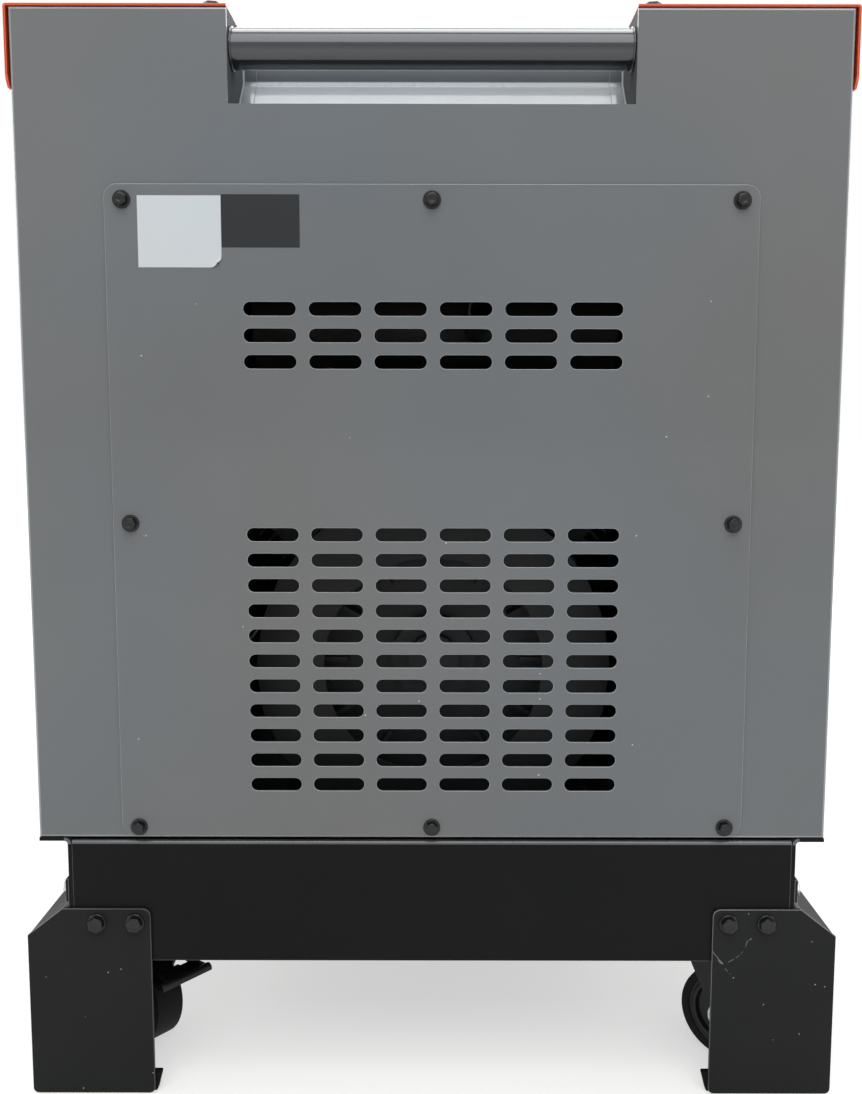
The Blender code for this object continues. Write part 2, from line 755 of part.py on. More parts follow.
def slots(name, rows, top, end):
    """A grid of round-ended slots through the sheet, with its first row at this height."""
    left = -SLOT_PITCH_X * (SLOT_COLUMNS - 1) / 2
    radius = SLOT_HEIGHT / 2
    flat = SLOT_LENGTH / 2 - radius
    outline = []
    for centre, start in ((flat, -90), (-flat, 90)):
        for step in range(3):
            angle = math.radians(start + 90 * step)
            outline.append((left + centre + radius * math.cos(angle), top + radius * math.sin(angle)))
    slot = prism(name, outline, "Y", end * (HALF_LENGTH - SHEET - PAST / 2), end * (HALF_LENGTH + PAST))
    repeat(slot, SLOT_COLUMNS, (SLOT_PITCH_X, 0.0, 0.0))
    repeat(slot, rows, (0.0, 0.0, -SLOT_PITCH_Z))
    return slot


def access_panel():
    """Removable ventilated cover, laid on the rear end panel and held by eight flanged bolts."""
    half = ACCESS_WIDTH / 2
    inner = HALF_LENGTH + FIT
    outer = inner + SHEET
    outline = rounded(
        [(-half, ACCESS_BOTTOM), (half, ACCESS_BOTTOM), (half, ACCESS_TOP), (-half, ACCESS_TOP)],
        [ACCESS_CORNER] * 4,
    )
    panel = prism("rear_access_panel", outline, "Y", -inner, -outer)
    cut(panel, slots("upper_slots", UPPER_SLOT_ROWS, ACCESS_TOP - UPPER_SLOT_DROP, -1))
    cut(panel, slots("lower_slots", LOWER_SLOT_ROWS, ACCESS_TOP - LOWER_SLOT_DROP, -1))
    bolt_x = half - ACCESS_BOLT_INSET
    top = ACCESS_TOP - ACCESS_BOLT_DROP
    bottom = ACCESS_BOTTOM + ACCESS_BOLT_DROP
    middle = ACCESS_TOP - ACCESS_MIDDLE_BOLT
    places = [(x, z) for z in (top, bottom) for x in (-bolt_x, 0.0, bolt_x)]
    places += [(-bolt_x, middle), (bolt_x, middle)]
    for number, (x, z) in enumerate(places):
        join(panel, bolt(f"access_bolt_{number}", (x, -outer, z), (0, -1, 0)))
    keep(panel, "rear_access_panel", GREY)


def hood():
    """Folded orange hood: flat top, side flanges with a hem turned in, notched over both handles."""
    outer = HALF_WIDTH + HOOD_OVERHANG
    inner = outer - SHEET
    flange = HOOD_TOP - HOOD_FLANGE
    hem = flange - HOOD_HEM
    hem_outer = HALF_WIDTH + FIT + SHEET
    half = [(outer, HOOD_TOP), (outer, flange), (hem_outer, hem), (hem_outer - SHEET, hem), (inner, flange)]
    half.append((inner, HOOD_BOTTOM))
    outline = half + [(-x, z) for x, z in reversed(half)]
    cover = prism("hood", outline, "Y", -HALF_LENGTH, HALF_LENGTH)
    for end_name, end in ENDS.items():
        notch = box(
            f"hood_{end_name}_notch",
            (-POCKET_WIDTH / 2, end * (HALF_LENGTH - POCKET_DEPTH), HOOD_BOTTOM - PAST),
            (POCKET_WIDTH / 2, end * (HALF_LENGTH + PAST), HOOD_TOP + PAST),
        )
        cut(cover, notch)
    hole = rod(
        "filler_hole",
        FILLER_RADIUS + 0.001,
        (FILLER_X, FILLER_Y, HOOD_BOTTOM - PAST),
        (FILLER_X, FILLER_Y, HOOD_TOP + PAST),
        sides=20,
    )
    cut(cover, hole)
    for end in ENDS.values():
        for side in SIDES.values():
            seat = (side * HOOD_BOLT_X, end * (HALF_LENGTH - HOOD_BOLT_INSET), HOOD_TOP)
            join(cover, bolt(f"hood_bolt_{end}_{side}", seat, (0, 0, 1)))
    keep(cover, "hood", ORANGE)


def handle_pocket(end_name):
    """Folded tray behind the notch: floor, sloped wall, upright back and two cheeks, open in front."""
    end = ENDS[end_name]
    name = f"{end_name}_handle_pocket"
    half = POCKET_WIDTH / 2
    front = HALF_LENGTH - SHEET - FIT
    back = HALF_LENGTH - POCKET_DEPTH
    knee = HALF_LENGTH - POCKET_FLOOR_DEPTH
    floor = BODY_TOP - POCKET_FLOOR
    bend = BODY_TOP - POCKET_BACK
    outside = [
        (front, floor - SHEET),
        (knee - SHEET * 0.47, floor - SHEET),
        (back - SHEET, bend - SHEET * 0.47),
        (back - SHEET, BODY_TOP),
        (front, BODY_TOP),
    ]
    inside = [
        (front + PAST, floor),
        (knee, floor),
        (back, bend),
        (back, BODY_TOP + PAST),
        (front + PAST, BODY_TOP + PAST),
    ]
    tray = prism(name, [(end * y, z) for y, z in outside], "X", -half - SHEET, half + SHEET)
    cut(tray, prism(f"{name}_hollow", [(end * y, z) for y, z in inside], "X", -half, half))
    keep(tray, name, GREY)

    reach = half - FIT
    place = Matrix.Translation((0, end * (HALF_LENGTH - HANDLE_INSET), BODY_TOP - HANDLE_DROP))
    profile = [
        (HANDLE_RADIUS, reach),
        (HANDLE_RADIUS, -reach),
        (HANDLE_RADIUS - HANDLE_WALL, -reach),
        (HANDLE_RADIUS - HANDLE_WALL, reach),
    ]
    tube = turned("tube", profile, 18, place @ Matrix.Rotation(math.pi / 2, 4, "Y"))
    keep(tube, f"{end_name}_handle_tube", GREY)


def side_panel(side_name):
    """Flat side sheet with a collared door opening and the fixed halves of the door's hinges."""
    side = SIDES[side_name]
    name = f"{side_name}_side_panel"
    inner = HALF_WIDTH - SHEET
    reach = HALF_LENGTH - END_RETURN - FIT
    panel = box(name, (side * inner, -reach, BODY_BOTTOM), (side * HALF_WIDTH, reach, BODY_TOP))
    half = DOOR_LENGTH / 2
    collar = box(
        f"{name}_collar",
        (side * (HALF_WIDTH - COLLAR_DEPTH), -half - SHEET, DOOR_BOTTOM - SHEET),
        (side * (inner + SHEET / 2), half + SHEET, DOOR_TOP + SHEET),
    )
    opening = box(
        f"{name}_opening",
        (side * (HALF_WIDTH - COLLAR_DEPTH - PAST), -half, DOOR_BOTTOM),
        (side * (HALF_WIDTH + PAST), half, DOOR_TOP),
    )
    join(panel, collar)
    cut(panel, opening)
    for height in hinge_heights():
        middle = height - HINGE_HEIGHT / 4
        knuckle = rod(
            f"{name}_knuckle",
            HINGE_RADIUS,
            (side * HINGE_X, HINGE_Y, middle - HINGE_HEIGHT / 4),
            (side * HINGE_X, HINGE_Y, middle + HINGE_HEIGHT / 4 - FIT / 2),
            sides=12,
        )
        leaf = box(
            f"{name}_leaf",
            (side * (HALF_WIDTH - SHEET / 2), HINGE_Y + 0.001, middle - HINGE_HEIGHT / 4 + 0.001),
            (side * (HALF_WIDTH + 0.003), HINGE_Y + 0.024, middle + HINGE_HEIGHT / 4 - 0.001),
        )
        pin = rod(
            f"{name}_pin",
            HINGE_PIN_RADIUS,
            (side * HINGE_X, HINGE_Y, middle),
            (side * HINGE_X, HINGE_Y, height + HINGE_HEIGHT / 2 - 0.004),
            sides=8,
        )
        join(panel, leaf, knuckle, pin)
    keep(panel, name, GREY)


def hinge_heights():
    """The level at which each hinge's lower and upper knuckles meet."""
    return (DOOR_BOTTOM + HINGE_DROP, DOOR_TOP - HINGE_DROP)


def door(side_name):
    """Pressed service door, flush in its opening, hinged outside its front edge, with a T-handle latch."""
    side = SIDES[side_name]
    name = f"{side_name}_door"
    half = DOOR_LENGTH / 2 - DOOR_GAP
    low = DOOR_BOTTOM + DOOR_GAP
    high = DOOR_TOP - DOOR_GAP
    inner = HALF_WIDTH - SHEET - DOOR_RETURN
    panel = box(name, (side * inner, -half, low), (side * HALF_WIDTH, half, high))
    hollow = box(
        f"{name}_hollow",
        (side * (inner - PAST), -half + SHEET, low + SHEET),
        (side * (HALF_WIDTH - SHEET), half - SHEET, high - SHEET),
    )
    cut(panel, hollow)
    spacing = LOUVRE_LENGTH + LOUVRE_SPACE
    for column in (-1, 1):
        start = column * spacing / 2 - LOUVRE_LENGTH / 2
        louvres = box(
            f"{name}_louvres_{column}",
            (side * (inner + SHEET), start, DOOR_BOTTOM + LOUVRE_LIFT),
            (side * (HALF_WIDTH + PAST), start + LOUVRE_LENGTH, DOOR_BOTTOM + LOUVRE_LIFT + LOUVRE_HEIGHT),
        )
        repeat(louvres, LOUVRE_ROWS, (0.0, 0.0, -LOUVRE_PITCH))
        cut(panel, louvres)
    for height in hinge_heights():
        middle = height + HINGE_HEIGHT / 4
        knuckle = rod(
            f"{name}_knuckle",
            HINGE_RADIUS,
            (side * HINGE_X, HINGE_Y, middle - HINGE_HEIGHT / 4 + FIT / 2),
            (side * HINGE_X, HINGE_Y, middle + HINGE_HEIGHT / 4),
            sides=12,
        )
        leaf = box(
            f"{name}_leaf",
            (side * (HALF_WIDTH - SHEET / 2), HINGE_Y - 0.001, middle - HINGE_HEIGHT / 4 + 0.001),
            (side * (HALF_WIDTH + 0.003), HINGE_Y - 0.028, middle + HINGE_HEIGHT / 4 - 0.001),
        )
        bore = rod(
            f"{name}_bore",
            HINGE_PIN_RADIUS + FIT,
            (side * HINGE_X, HINGE_Y, middle - HINGE_HEIGHT / 4 - PAST / 4),
            (side * HINGE_X, HINGE_Y, middle + HINGE_HEIGHT / 4 - 0.002),
            sides=8,
        )
        join(panel, leaf, knuckle)
        cut(panel, bore)
    latch_y = -half + LATCH_INSET
    latch_z = (DOOR_BOTTOM + DOOR_TOP) / 2
    spindle_hole = rod(
        f"{name}_spindle_hole",
        LATCH_SPINDLE_RADIUS + FIT,
        (side * (inner + SHEET), latch_y, latch_z),
        (side * (HALF_WIDTH + PAST), latch_y, latch_z),
    )
    cut(panel, spindle_hole)
    keep(panel, name, GREY, origin=(side * HINGE_X, HINGE_Y, 0.0))

    behind_collar = HALF_WIDTH - COLLAR_DEPTH - FIT
    latch = rod(
        "spindle",
        LATCH_SPINDLE_RADIUS,
        (side * (behind_collar - PLATE), latch_y, latch_z),
        (side * (HALF_WIDTH + 0.004), latch_y, latch_z),
    )
    grip = box(
        "grip",
        (side * (HALF_WIDTH + FIT), latch_y - 0.0065, latch_z - 0.030),
        (side * (HALF_WIDTH + 0.011), latch_y + 0.0065, latch_z + 0.030),
    )
    cam = box(
        "cam",
        (side * (behind_collar - PLATE), latch_y - 0.008, latch_z + 0.008),
        (side * behind_collar, latch_y + 0.008, latch_z - LATCH_REACH),
    )
    join(latch, grip, cam)
    keep(latch, f"{side_name}_door_latch", BLACK_PLASTIC, origin=(side * HALF_WIDTH, latch_y, latch_z))


# ------------------------------------------------------------------ controls on the front end
def control_panel():
    """Sheet tray let into the front end panel, with a hole for each control."""
    half = CONTROL_WIDTH / 2
    front = HALF_LENGTH - SHEET - FIT
    tray = box(
        "control_panel",
        (-half - SHEET, CONTROL_FACE - SHEET, CONTROL_BOTTOM - SHEET),
        (half + SHEET, front, CONTROL_TOP + SHEET),
    )
    recess = box(
        "control_recess", (-half, CONTROL_FACE, CONTROL_BOTTOM), (half, front + PAST, CONTROL_TOP)
    )
    cut(tray, recess)
    switch_z = CONTROL_TOP - SWITCH_ROW
    for x, radius in ((KEY_X, KEY_STEM_RADIUS), (STOP_X, STOP_STEM_RADIUS)):
        hole = rod(
            "control_hole",
            radius + FIT,
            (x, CONTROL_FACE - SHEET - PAST, switch_z),
            (x, CONTROL_FACE + PAST, switch_z),
        )
        cut(tray, hole)
    keep(tray, "control_panel", DARK_GREY)

    stem_start = (KEY_X, CONTROL_FACE - 0.010, switch_z)
    key = rod("key_stem", KEY_STEM_RADIUS, stem_start, (KEY_X, CONTROL_FACE + 0.008, switch_z))
    blade = box(
        "key_bow",
        (KEY_X - 0.0015, CONTROL_FACE + 0.006, switch_z - 0.010),
        (KEY_X + 0.0015, CONTROL_FACE + 0.026, switch_z + 0.010),
    )
    join(key, blade)
    keep(key, "ignition_key", STEEL, origin=(KEY_X, CONTROL_FACE, switch_z))

    head_low = CONTROL_FACE + STOP_TRAVEL + 0.003
    profile = [
        (0.0, head_low + 0.013),
        (STOP_HEAD_RADIUS * 0.75, head_low + 0.013),
        (STOP_HEAD_RADIUS, head_low + 0.007),
        (STOP_HEAD_RADIUS, head_low),
        (STOP_STEM_RADIUS, head_low),
        (STOP_STEM_RADIUS, CONTROL_FACE - 0.010),
        (0.0, CONTROL_FACE - 0.010),
    ]
    facing = Matrix.Rotation(-math.pi / 2, 4, "X")
    place = Matrix.Translation((STOP_X, 0, switch_z)) @ facing
    button = turned("stop_button", profile, 16, place, closed=False)
    keep(button, "emergency_stop_button", RED, origin=(STOP_X, CONTROL_FACE, switch_z))

    breaker(switch_z)
    socket_z = CONTROL_TOP - SOCKET_ROW
    socket("three_phase_socket", THREE_PHASE_X, socket_z, THREE_PHASE_RADIUS, RED, RED)
    socket("single_phase_socket", SINGLE_PHASE_X, socket_z, SINGLE_PHASE_RADIUS, BLUE, BLUE)


def breaker(centre_z):
    """Moulded circuit breaker on the panel, its toggle carried between the walls of a well."""
    width, depth, height = BREAKER_SIZE
    back = CONTROL_FACE + FIT
    front = back + depth
    well = 0.014
    case = box(
        "circuit_breaker",
        (BREAKER_X - width / 2, back, centre_z - height / 2),
        (BREAKER_X + width / 2, front, centre_z + height / 2),
    )
    hollow = box(
        "breaker_well",
        (BREAKER_X - width / 3, front - 0.014, centre_z - well),
        (BREAKER_X + width / 3, front + PAST, centre_z + well),
    )
    cut(case, hollow)
    keep(case, "circuit_breaker", BLACK_PLASTIC)

    pivot_y = front - 0.008
    reach = width / 3 - FIT
    pin_start = (BREAKER_X - reach, pivot_y, centre_z)
    lever = rod("toggle", 0.004, pin_start, (BREAKER_X + reach, pivot_y, centre_z), 12)
    handle = box("toggle_handle", (-reach + 0.002, 0.0, -0.0025), (reach - 0.002, 0.018, 0.0025))
    off = Matrix.Rotation(-math.radians(TOGGLE_TILT), 4, "X")
    placed(Matrix.Translation((BREAKER_X, pivot_y, centre_z)) @ off, handle)
    join(lever, handle)
    keep(lever, "breaker_lever", BLACK_PLASTIC, origin=(BREAKER_X, pivot_y, centre_z))


def socket(name, x, z, radius, body_material, lid_material):
    """Panel socket: square flange, round well, and a lid that hangs from two ears above it."""
    back = CONTROL_FACE + FIT
    rim = HALF_LENGTH - 0.0100
    flange = radius * 1.18
    lid_thickness = 0.005
    housing = box(name, (x - flange, back, z - flange), (x + flange, back + 0.004, z + flange))
    barrel = rod(f"{name}_barrel", radius, (x, back + SINK, z), (x, rim, z), sides=20)
    pivot_y = rim + FIT + lid_thickness / 2
    pivot_z = z + radius + 0.004
    ear_x = radius * 0.4
    join(housing, barrel)
    for side in SIDES.values():
        ear = box(
            f"{name}_ear",
            (x + side * ear_x, rim - 0.010, z + radius * 0.85),
            (x + side * (ear_x + 0.004), pivot_y + 0.002, pivot_z + 0.0025),
        )
        join(housing, ear)
    well = rod(f"{name}_well", radius * 0.84, (x, back + 0.008, z), (x, rim + PAST, z), sides=20)
    cut(housing, well)
    keep(housing, name, body_material)

    lid = rod(f"{name}_lid", radius + 0.0015, (x, rim + FIT, z), (x, rim + FIT + lid_thickness, z), sides=20)
    knuckle_reach = ear_x - FIT
    knuckle = rod(
        f"{name}_lid_knuckle",
        0.0025,
        (x - knuckle_reach, pivot_y, pivot_z),
        (x + knuckle_reach, pivot_y, pivot_z),
        sides=12,
    )
    arm = box(
        f"{name}_lid_arm",
        (x - knuckle_reach + 0.001, rim + FIT + 0.001, z + radius * 0.8),
        (x + knuckle_reach - 0.001, rim + FIT + lid_thickness - 0.001, pivot_z),
    )
    relief_low = z + radius * 0.85 - FIT
    join(lid, arm, knuckle)
    for side in SIDES.values():
        relief = box(
            f"{name}_lid_relief",
            (x + side * (ear_x - FIT), rim - PAST, relief_low),
            (x + side * (ear_x + radius), rim + PAST, pivot_z + PAST),
        )
        cut(lid, relief)
    keep(lid, f"{name}_lid", lid_material, origin=(x, pivot_y, pivot_z))


# ------------------------------------------------------------------ fuel
def fuel_tank():
    """Hollow tank hung from both side panels by its lugs, with its filler neck up through the hood."""
    top = BODY_TOP - TANK_DROP
    bottom = top - TANK_HEIGHT
    tank = box("fuel_tank", (-TANK_HALF_WIDTH, TANK_REAR, bottom), (TANK_HALF_WIDTH, TANK_FRONT, top))
    neck_top = HOOD_TOP + 0.0023
    neck = rod("neck", FILLER_RADIUS, (FILLER_X, FILLER_Y, top - SINK), (FILLER_X, FILLER_Y, neck_top), 20)
    join(tank, neck)
    lug_z = top - LUG_DROP
    for side in SIDES.values():
        lug = box(
            "lug",
            (side * (TANK_HALF_WIDTH - SINK), TANK_REAR + LUG_INSET, lug_z),
            (side * (HALF_WIDTH - SHEET - FIT), TANK_FRONT - LUG_INSET, lug_z + PLATE),
        )
        join(tank, lug)
    cavity = box(
        "cavity",
        (-TANK_HALF_WIDTH + TANK_WALL, TANK_REAR + TANK_WALL, bottom + TANK_WALL),
        (TANK_HALF_WIDTH - TANK_WALL, TANK_FRONT - TANK_WALL, top - TANK_WALL),
    )
    bore = rod(
        "neck_bore",
        FILLER_RADIUS - TANK_WALL,
        (FILLER_X, FILLER_Y, top - 2 * TANK_WALL),
        (FILLER_X, FILLER_Y, neck_top + PAST),
        sides=20,
    )
    cut(tank, cavity, bore)
    keep(tank, "fuel_tank", BLACK_PLASTIC)

    cap_low = neck_top + FIT
    plug = FILLER_RADIUS - TANK_WALL - 0.0005
    profile = [
        (0.0, cap_low + CAP_HEIGHT),
        (CAP_RADIUS - 0.002, cap_low + CAP_HEIGHT),
        (CAP_RADIUS, cap_low + CAP_HEIGHT - 0.002),
        (CAP_RADIUS, cap_low),
        (plug, cap_low),
        (plug, cap_low - 0.014),
        (0.0, cap_low - 0.014),
    ]
    cap = turned("cap", profile, 20, Matrix.Translation((FILLER_X, FILLER_Y, 0)), closed=False)
    keep(cap, "fuel_cap", BLACK_PLASTIC, origin=(FILLER_X, FILLER_Y, cap_low))


# ------------------------------------------------------------------ engine and alternator
def engine_cradle():
    """Welded ladder of two long beams and two cross beams, on the base floor under the engine."""
    low = FLOOR_TOP + FIT
    inner = CRADLE_HALF_WIDTH - CRADLE_BEAM
    ladder = box(
        "engine_cradle", (-CRADLE_HALF_WIDTH, CRADLE_REAR, low), (CRADLE_HALF_WIDTH, CRADLE_FRONT, CRADLE_TOP)
    )
    opening = box(
        "cradle_opening",
        (-inner, CRADLE_REAR + CRADLE_BEAM, low - PAST),
        (inner, CRADLE_FRONT - CRADLE_BEAM, CRADLE_TOP + PAST),
    )
    cut(ladder, opening)
    keep(ladder, "engine_cradle", BLACK_STEEL)


def crankcase():
    """Cast crankcase with its sump and feet, and two seats at 45 degrees for the cylinders."""
    half_deck = 0.063
    slope = math.sqrt(0.5)
    centre_x = DECK_REACH * slope
    centre_z = SHAFT_HEIGHT + DECK_REACH * slope
    low_x = centre_x + half_deck * slope
    low_z = centre_z - half_deck * slope
    high_x = centre_x - half_deck * slope
    high_z = centre_z + half_deck * slope
    half = [
        (CRADLE_HALF_WIDTH + 0.005, ENGINE_FOOT),
        (CRADLE_HALF_WIDTH + 0.005, ENGINE_FOOT + 0.014),
        (0.125, ENGINE_FOOT + 0.014),
        (0.125, SHAFT_HEIGHT - 0.120),
        (low_x, SHAFT_HEIGHT - 0.070),
        (low_x, low_z),
        (high_x, high_z),
    ]
    outline = half + [(-x, z) for x, z in reversed(half)]
    case = prism("crankcase", outline, "Y", ENGINE_REAR, ENGINE_FRONT)
    wall = 0.015
    chamber = rod(
        "crank_chamber",
        CRANK_CHAMBER_RADIUS,
        (0, ENGINE_REAR + wall, SHAFT_HEIGHT),
        (0, ENGINE_FRONT - wall, SHAFT_HEIGHT),
        sides=24,
    )
    bore = rod(
        "main_bore",
        SHAFT_RADIUS + SHAFT_CLEARANCE,
        (0, ENGINE_REAR - PAST, SHAFT_HEIGHT),
        (0, ENGINE_FRONT + PAST, SHAFT_HEIGHT),
        sides=20,
    )
    cut(case, chamber, bore)
    keep(case, "crankcase", CAST)


def crankshaft():
    """Built-up crank: two journals, two round webs and the pin between them."""
    middle = ENGINE_MIDDLE
    gap = 0.022
    web = 0.018
    rear_end = ENGINE_REAR - BLOWER_DEPTH * 0.75
    shaft = rod(
        "crankshaft", SHAFT_RADIUS, (0, rear_end, SHAFT_HEIGHT), (0, middle - gap - web / 2, SHAFT_HEIGHT), 20
    )
    front = rod(
        "front_journal",
        SHAFT_RADIUS,
        (0, middle + gap + web / 2, SHAFT_HEIGHT),
        (0, ENGINE_FRONT + 0.030, SHAFT_HEIGHT),
        sides=20,
    )
    tools = [front]
    for way in (-1, 1):
        near = middle + way * gap
        tools.append(rod("web", 0.070, (0, near, SHAFT_HEIGHT), (0, near + way * web, SHAFT_HEIGHT), 20))
    pin_z = SHAFT_HEIGHT + CRANK_THROW
    pin_start = (0, middle - gap - SINK, pin_z)
    tools.append(rod("crank_pin", 0.019, pin_start, (0, middle + gap + SINK, pin_z), 12))
    join(shaft, *tools)
    keep(shaft, "crankshaft", STEEL, origin=(0, 0, SHAFT_HEIGHT))


def cylinder(side_name):
    """Finned barrel and head of one bank, leaning 45 degrees out from the crankcase."""
    side = SIDES[side_name]
    fins = 8
    pitch = 0.012
    half = [(0.046, 0.0)]
    for fin in range(fins):
        low = 0.010 + fin * pitch
        half += [(0.046, low), (0.060, low), (0.060, low + pitch / 3), (0.046, low + pitch / 3)]
    half += [(0.046, 0.106), (0.060, 0.106), (0.060, 0.148), (0.042, 0.152), (0.036, 0.168)]
    outline = half + [(-x, z) for x, z in reversed(half)]
    centre_y = ENGINE_MIDDLE + side * CYLINDER_STAGGER
    reach = DECK_REACH + FIT
    bank = prism("cylinder", outline, "Y", -0.058, 0.058)
    lean = Matrix.Rotation(side * math.pi / 4, 4, "Y")
    placed(Matrix.Translation((0, centre_y, SHAFT_HEIGHT)) @ lean @ Matrix.Translation((0, 0, reach)), bank)
    keep(bank, f"{side_name}_cylinder", CAST)


def flywheel_fan():
    """Flywheel with fan blades on its rear face, pressed on the crankshaft's tail."""
    rear = ENGINE_REAR - BLOWER_DEPTH * 0.45
    disc = rod("flywheel", FAN_RADIUS, (0, rear, SHAFT_HEIGHT), (0, rear + 0.018, SHAFT_HEIGHT), 24)
    blades = []
    for number in range(FAN_BLADES):
        blade = box("blade", (0.085, rear - 0.026, -0.002), (FAN_RADIUS - 0.004, rear + SINK, 0.002))
        turn = Matrix.Rotation(2 * math.pi * number / FAN_BLADES, 4, "Y")
        placed(Matrix.Translation((0, 0, SHAFT_HEIGHT)) @ turn, blade)
        blades.append(blade)
    hub = rod("hub", 0.042, (0, rear - 0.020, SHAFT_HEIGHT), (0, rear + SINK, SHAFT_HEIGHT), 16)
    bore = rod(
        "hub_bore", SHAFT_RADIUS + FIT, (0, rear - 0.040, SHAFT_HEIGHT), (0, rear + 0.030, SHAFT_HEIGHT), 20
    )
    join(disc, *blades, hub)
    cut(disc, bore)
    keep(disc, "flywheel_fan", CAST, origin=(0, rear, SHAFT_HEIGHT))


def blower_housing():
    """Pressed shroud round the fan, with a round air intake towards the rear grille."""
    front = ENGINE_REAR - FIT
    rear = front - BLOWER_DEPTH
    profile = [
        (BLOWER_RADIUS, front),
        (BLOWER_RADIUS, rear),
        (0.105, rear),
        (0.105, rear + SHEET),
        (BLOWER_RADIUS - SHEET, rear + SHEET),
        (BLOWER_RADIUS - SHEET, front),
    ]
    facing = Matrix.Translation((0, 0, SHAFT_HEIGHT)) @ Matrix.Rotation(-math.pi / 2, 4, "X")
    shroud = turned("blower_housing", profile, 24, facing)
    keep(shroud, "blower_housing", BLACK_STEEL)


def alternator():
    """Stator housing bolted to the crankcase, on its own feet, round a rotor on the crankshaft's line."""
    rear = ENGINE_FRONT + FIT
    wall = 0.012
    profile = [
        (ALTERNATOR_RADIUS, ALTERNATOR_FRONT),
        (ALTERNATOR_RADIUS, rear),
        (SHAFT_RADIUS + 0.004, rear),
        (SHAFT_RADIUS + 0.004, rear + wall),
        (ALTERNATOR_BORE, rear + wall),
        (ALTERNATOR_BORE, ALTERNATOR_FRONT - wall),
        (JOURNAL_RADIUS + SHAFT_CLEARANCE, ALTERNATOR_FRONT - wall),
        (JOURNAL_RADIUS + SHAFT_CLEARANCE, ALTERNATOR_FRONT),
    ]
    facing = Matrix.Translation((0, 0, SHAFT_HEIGHT)) @ Matrix.Rotation(-math.pi / 2, 4, "X")
    housing = turned("alternator_housing", profile, 20, facing)
    for side in SIDES.values():
        foot = box(
            "alternator_foot",
            (side * 0.100, ALTERNATOR_FRONT - 0.190, ENGINE_FOOT),
            (side * 0.155, ALTERNATOR_FRONT - 0.050, SHAFT_HEIGHT - 0.078),
        )
        join(housing, foot)
    keep(housing, "alternator_housing", CAST)

    start = ENGINE_FRONT + 0.030 + FIT
    middle = (rear + ALTERNATOR_FRONT) / 2
    profile = [
        (0.0, ALTERNATOR_FRONT + 0.006),
        (JOURNAL_RADIUS, ALTERNATOR_FRONT + 0.006),
        (JOURNAL_RADIUS, middle + 0.090),
        (ROTOR_RADIUS, middle + 0.090),
        (ROTOR_RADIUS, middle - 0.090),
        (SHAFT_RADIUS, middle - 0.090),
        (SHAFT_RADIUS, start),
        (0.0, start),
    ]
    rotor = turned("alternator_rotor", profile, 20, facing, closed=False)
    keep(rotor, "alternator_rotor", STEEL, origin=(0, middle, SHAFT_HEIGHT))


def muffler():
    """Hollow muffler across the engine, on two stub pipes from the heads, with its outlet to the rear."""
    half = MUFFLER_LENGTH / 2
    y = ENGINE_MIDDLE
    drum = rod("muffler", MUFFLER_RADIUS, (-half, y, MUFFLER_HEIGHT), (half, y, MUFFLER_HEIGHT), 16)
    slope = math.sqrt(0.5)
    along = DECK_REACH + FIT + 0.127
    across = 0.060 + FIT
    for side_name, side in SIDES.items():
        start_x = (along - across) * slope
        start_z = SHAFT_HEIGHT + (along + across) * slope
        pipe_y = y + side * CYLINDER_STAGGER
        elbow_x = start_x - 0.022
        elbow_z = start_z + 0.022
        route = [(start_x, start_z), (elbow_x, elbow_z), (elbow_x - 0.006, elbow_z + 0.014)]
        route.append((elbow_x - 0.006, MUFFLER_HEIGHT - MUFFLER_RADIUS / 2))
        points = [(side * x, pipe_y, z) for x, z in route]
        join(drum, bent_tube(f"{side_name}_stub", points, 0.015))
    tail_z = MUFFLER_HEIGHT - 0.010
    tail = rod("tail_pipe", 0.018, (0.050, y, tail_z), (0.050, TAIL_PIPE_END, tail_z))
    join(drum, tail)
    hollow = rod(
        "muffler_hollow",
        MUFFLER_RADIUS - SHEET,
        (-half + SHEET, y, MUFFLER_HEIGHT),
        (half - SHEET, y, MUFFLER_HEIGHT),
        sides=16,
    )
    bore = rod(
        "tail_bore",
        0.016,
        (0.050, y, MUFFLER_HEIGHT - 0.010),
        (0.050, TAIL_PIPE_END - PAST, MUFFLER_HEIGHT - 0.010),
    )
    cut(drum, hollow, bore)
    keep(drum, "muffler", STEEL)


def air_cleaner():
    """Canister air cleaner on its intake stem, between the two banks."""
    seat = SHAFT_HEIGHT + (DECK_REACH + 0.063) * math.sqrt(0.5) + FIT
    profile = [
        (0.0, seat + 0.125),
        (0.056, seat + 0.125),
        (0.062, seat + 0.119),
        (0.062, seat + 0.045),
        (0.022, seat + 0.040),
        (0.022, seat),
        (0.0, seat),
    ]
    canister = turned("air_cleaner", profile, 16, Matrix.Translation((0, ENGINE_MIDDLE, 0)), closed=False)
    keep(canister, "air_cleaner", BLACK_PLASTIC)


def battery():
    width, depth, height = BATTERY_SIZE
    x = HALF_WIDTH - BATTERY_SIDE_GAP - width
    y = HALF_LENGTH - BATTERY_FRONT_GAP - depth
    low = FLOOR_TOP + FIT
    case = box("battery", (x, y, low), (x + width, y + depth, low + height))
    for post_x in (x + 0.035, x + width - 0.035):
        base = (post_x, y + 0.035, low + height - SINK)
        join(case, rod("post", 0.009, base, (post_x, y + 0.035, low + height + 0.018), 12))
    keep(case, "battery", BLACK_PLASTIC)


# ------------------------------------------------------------------ build
for old in list(bpy.data.objects):
    bpy.data.objects.remove(old)

PARTS = new_collection("engine_driven_welder")
SHAPES = new_collection("cutters_and_joined_shapes")

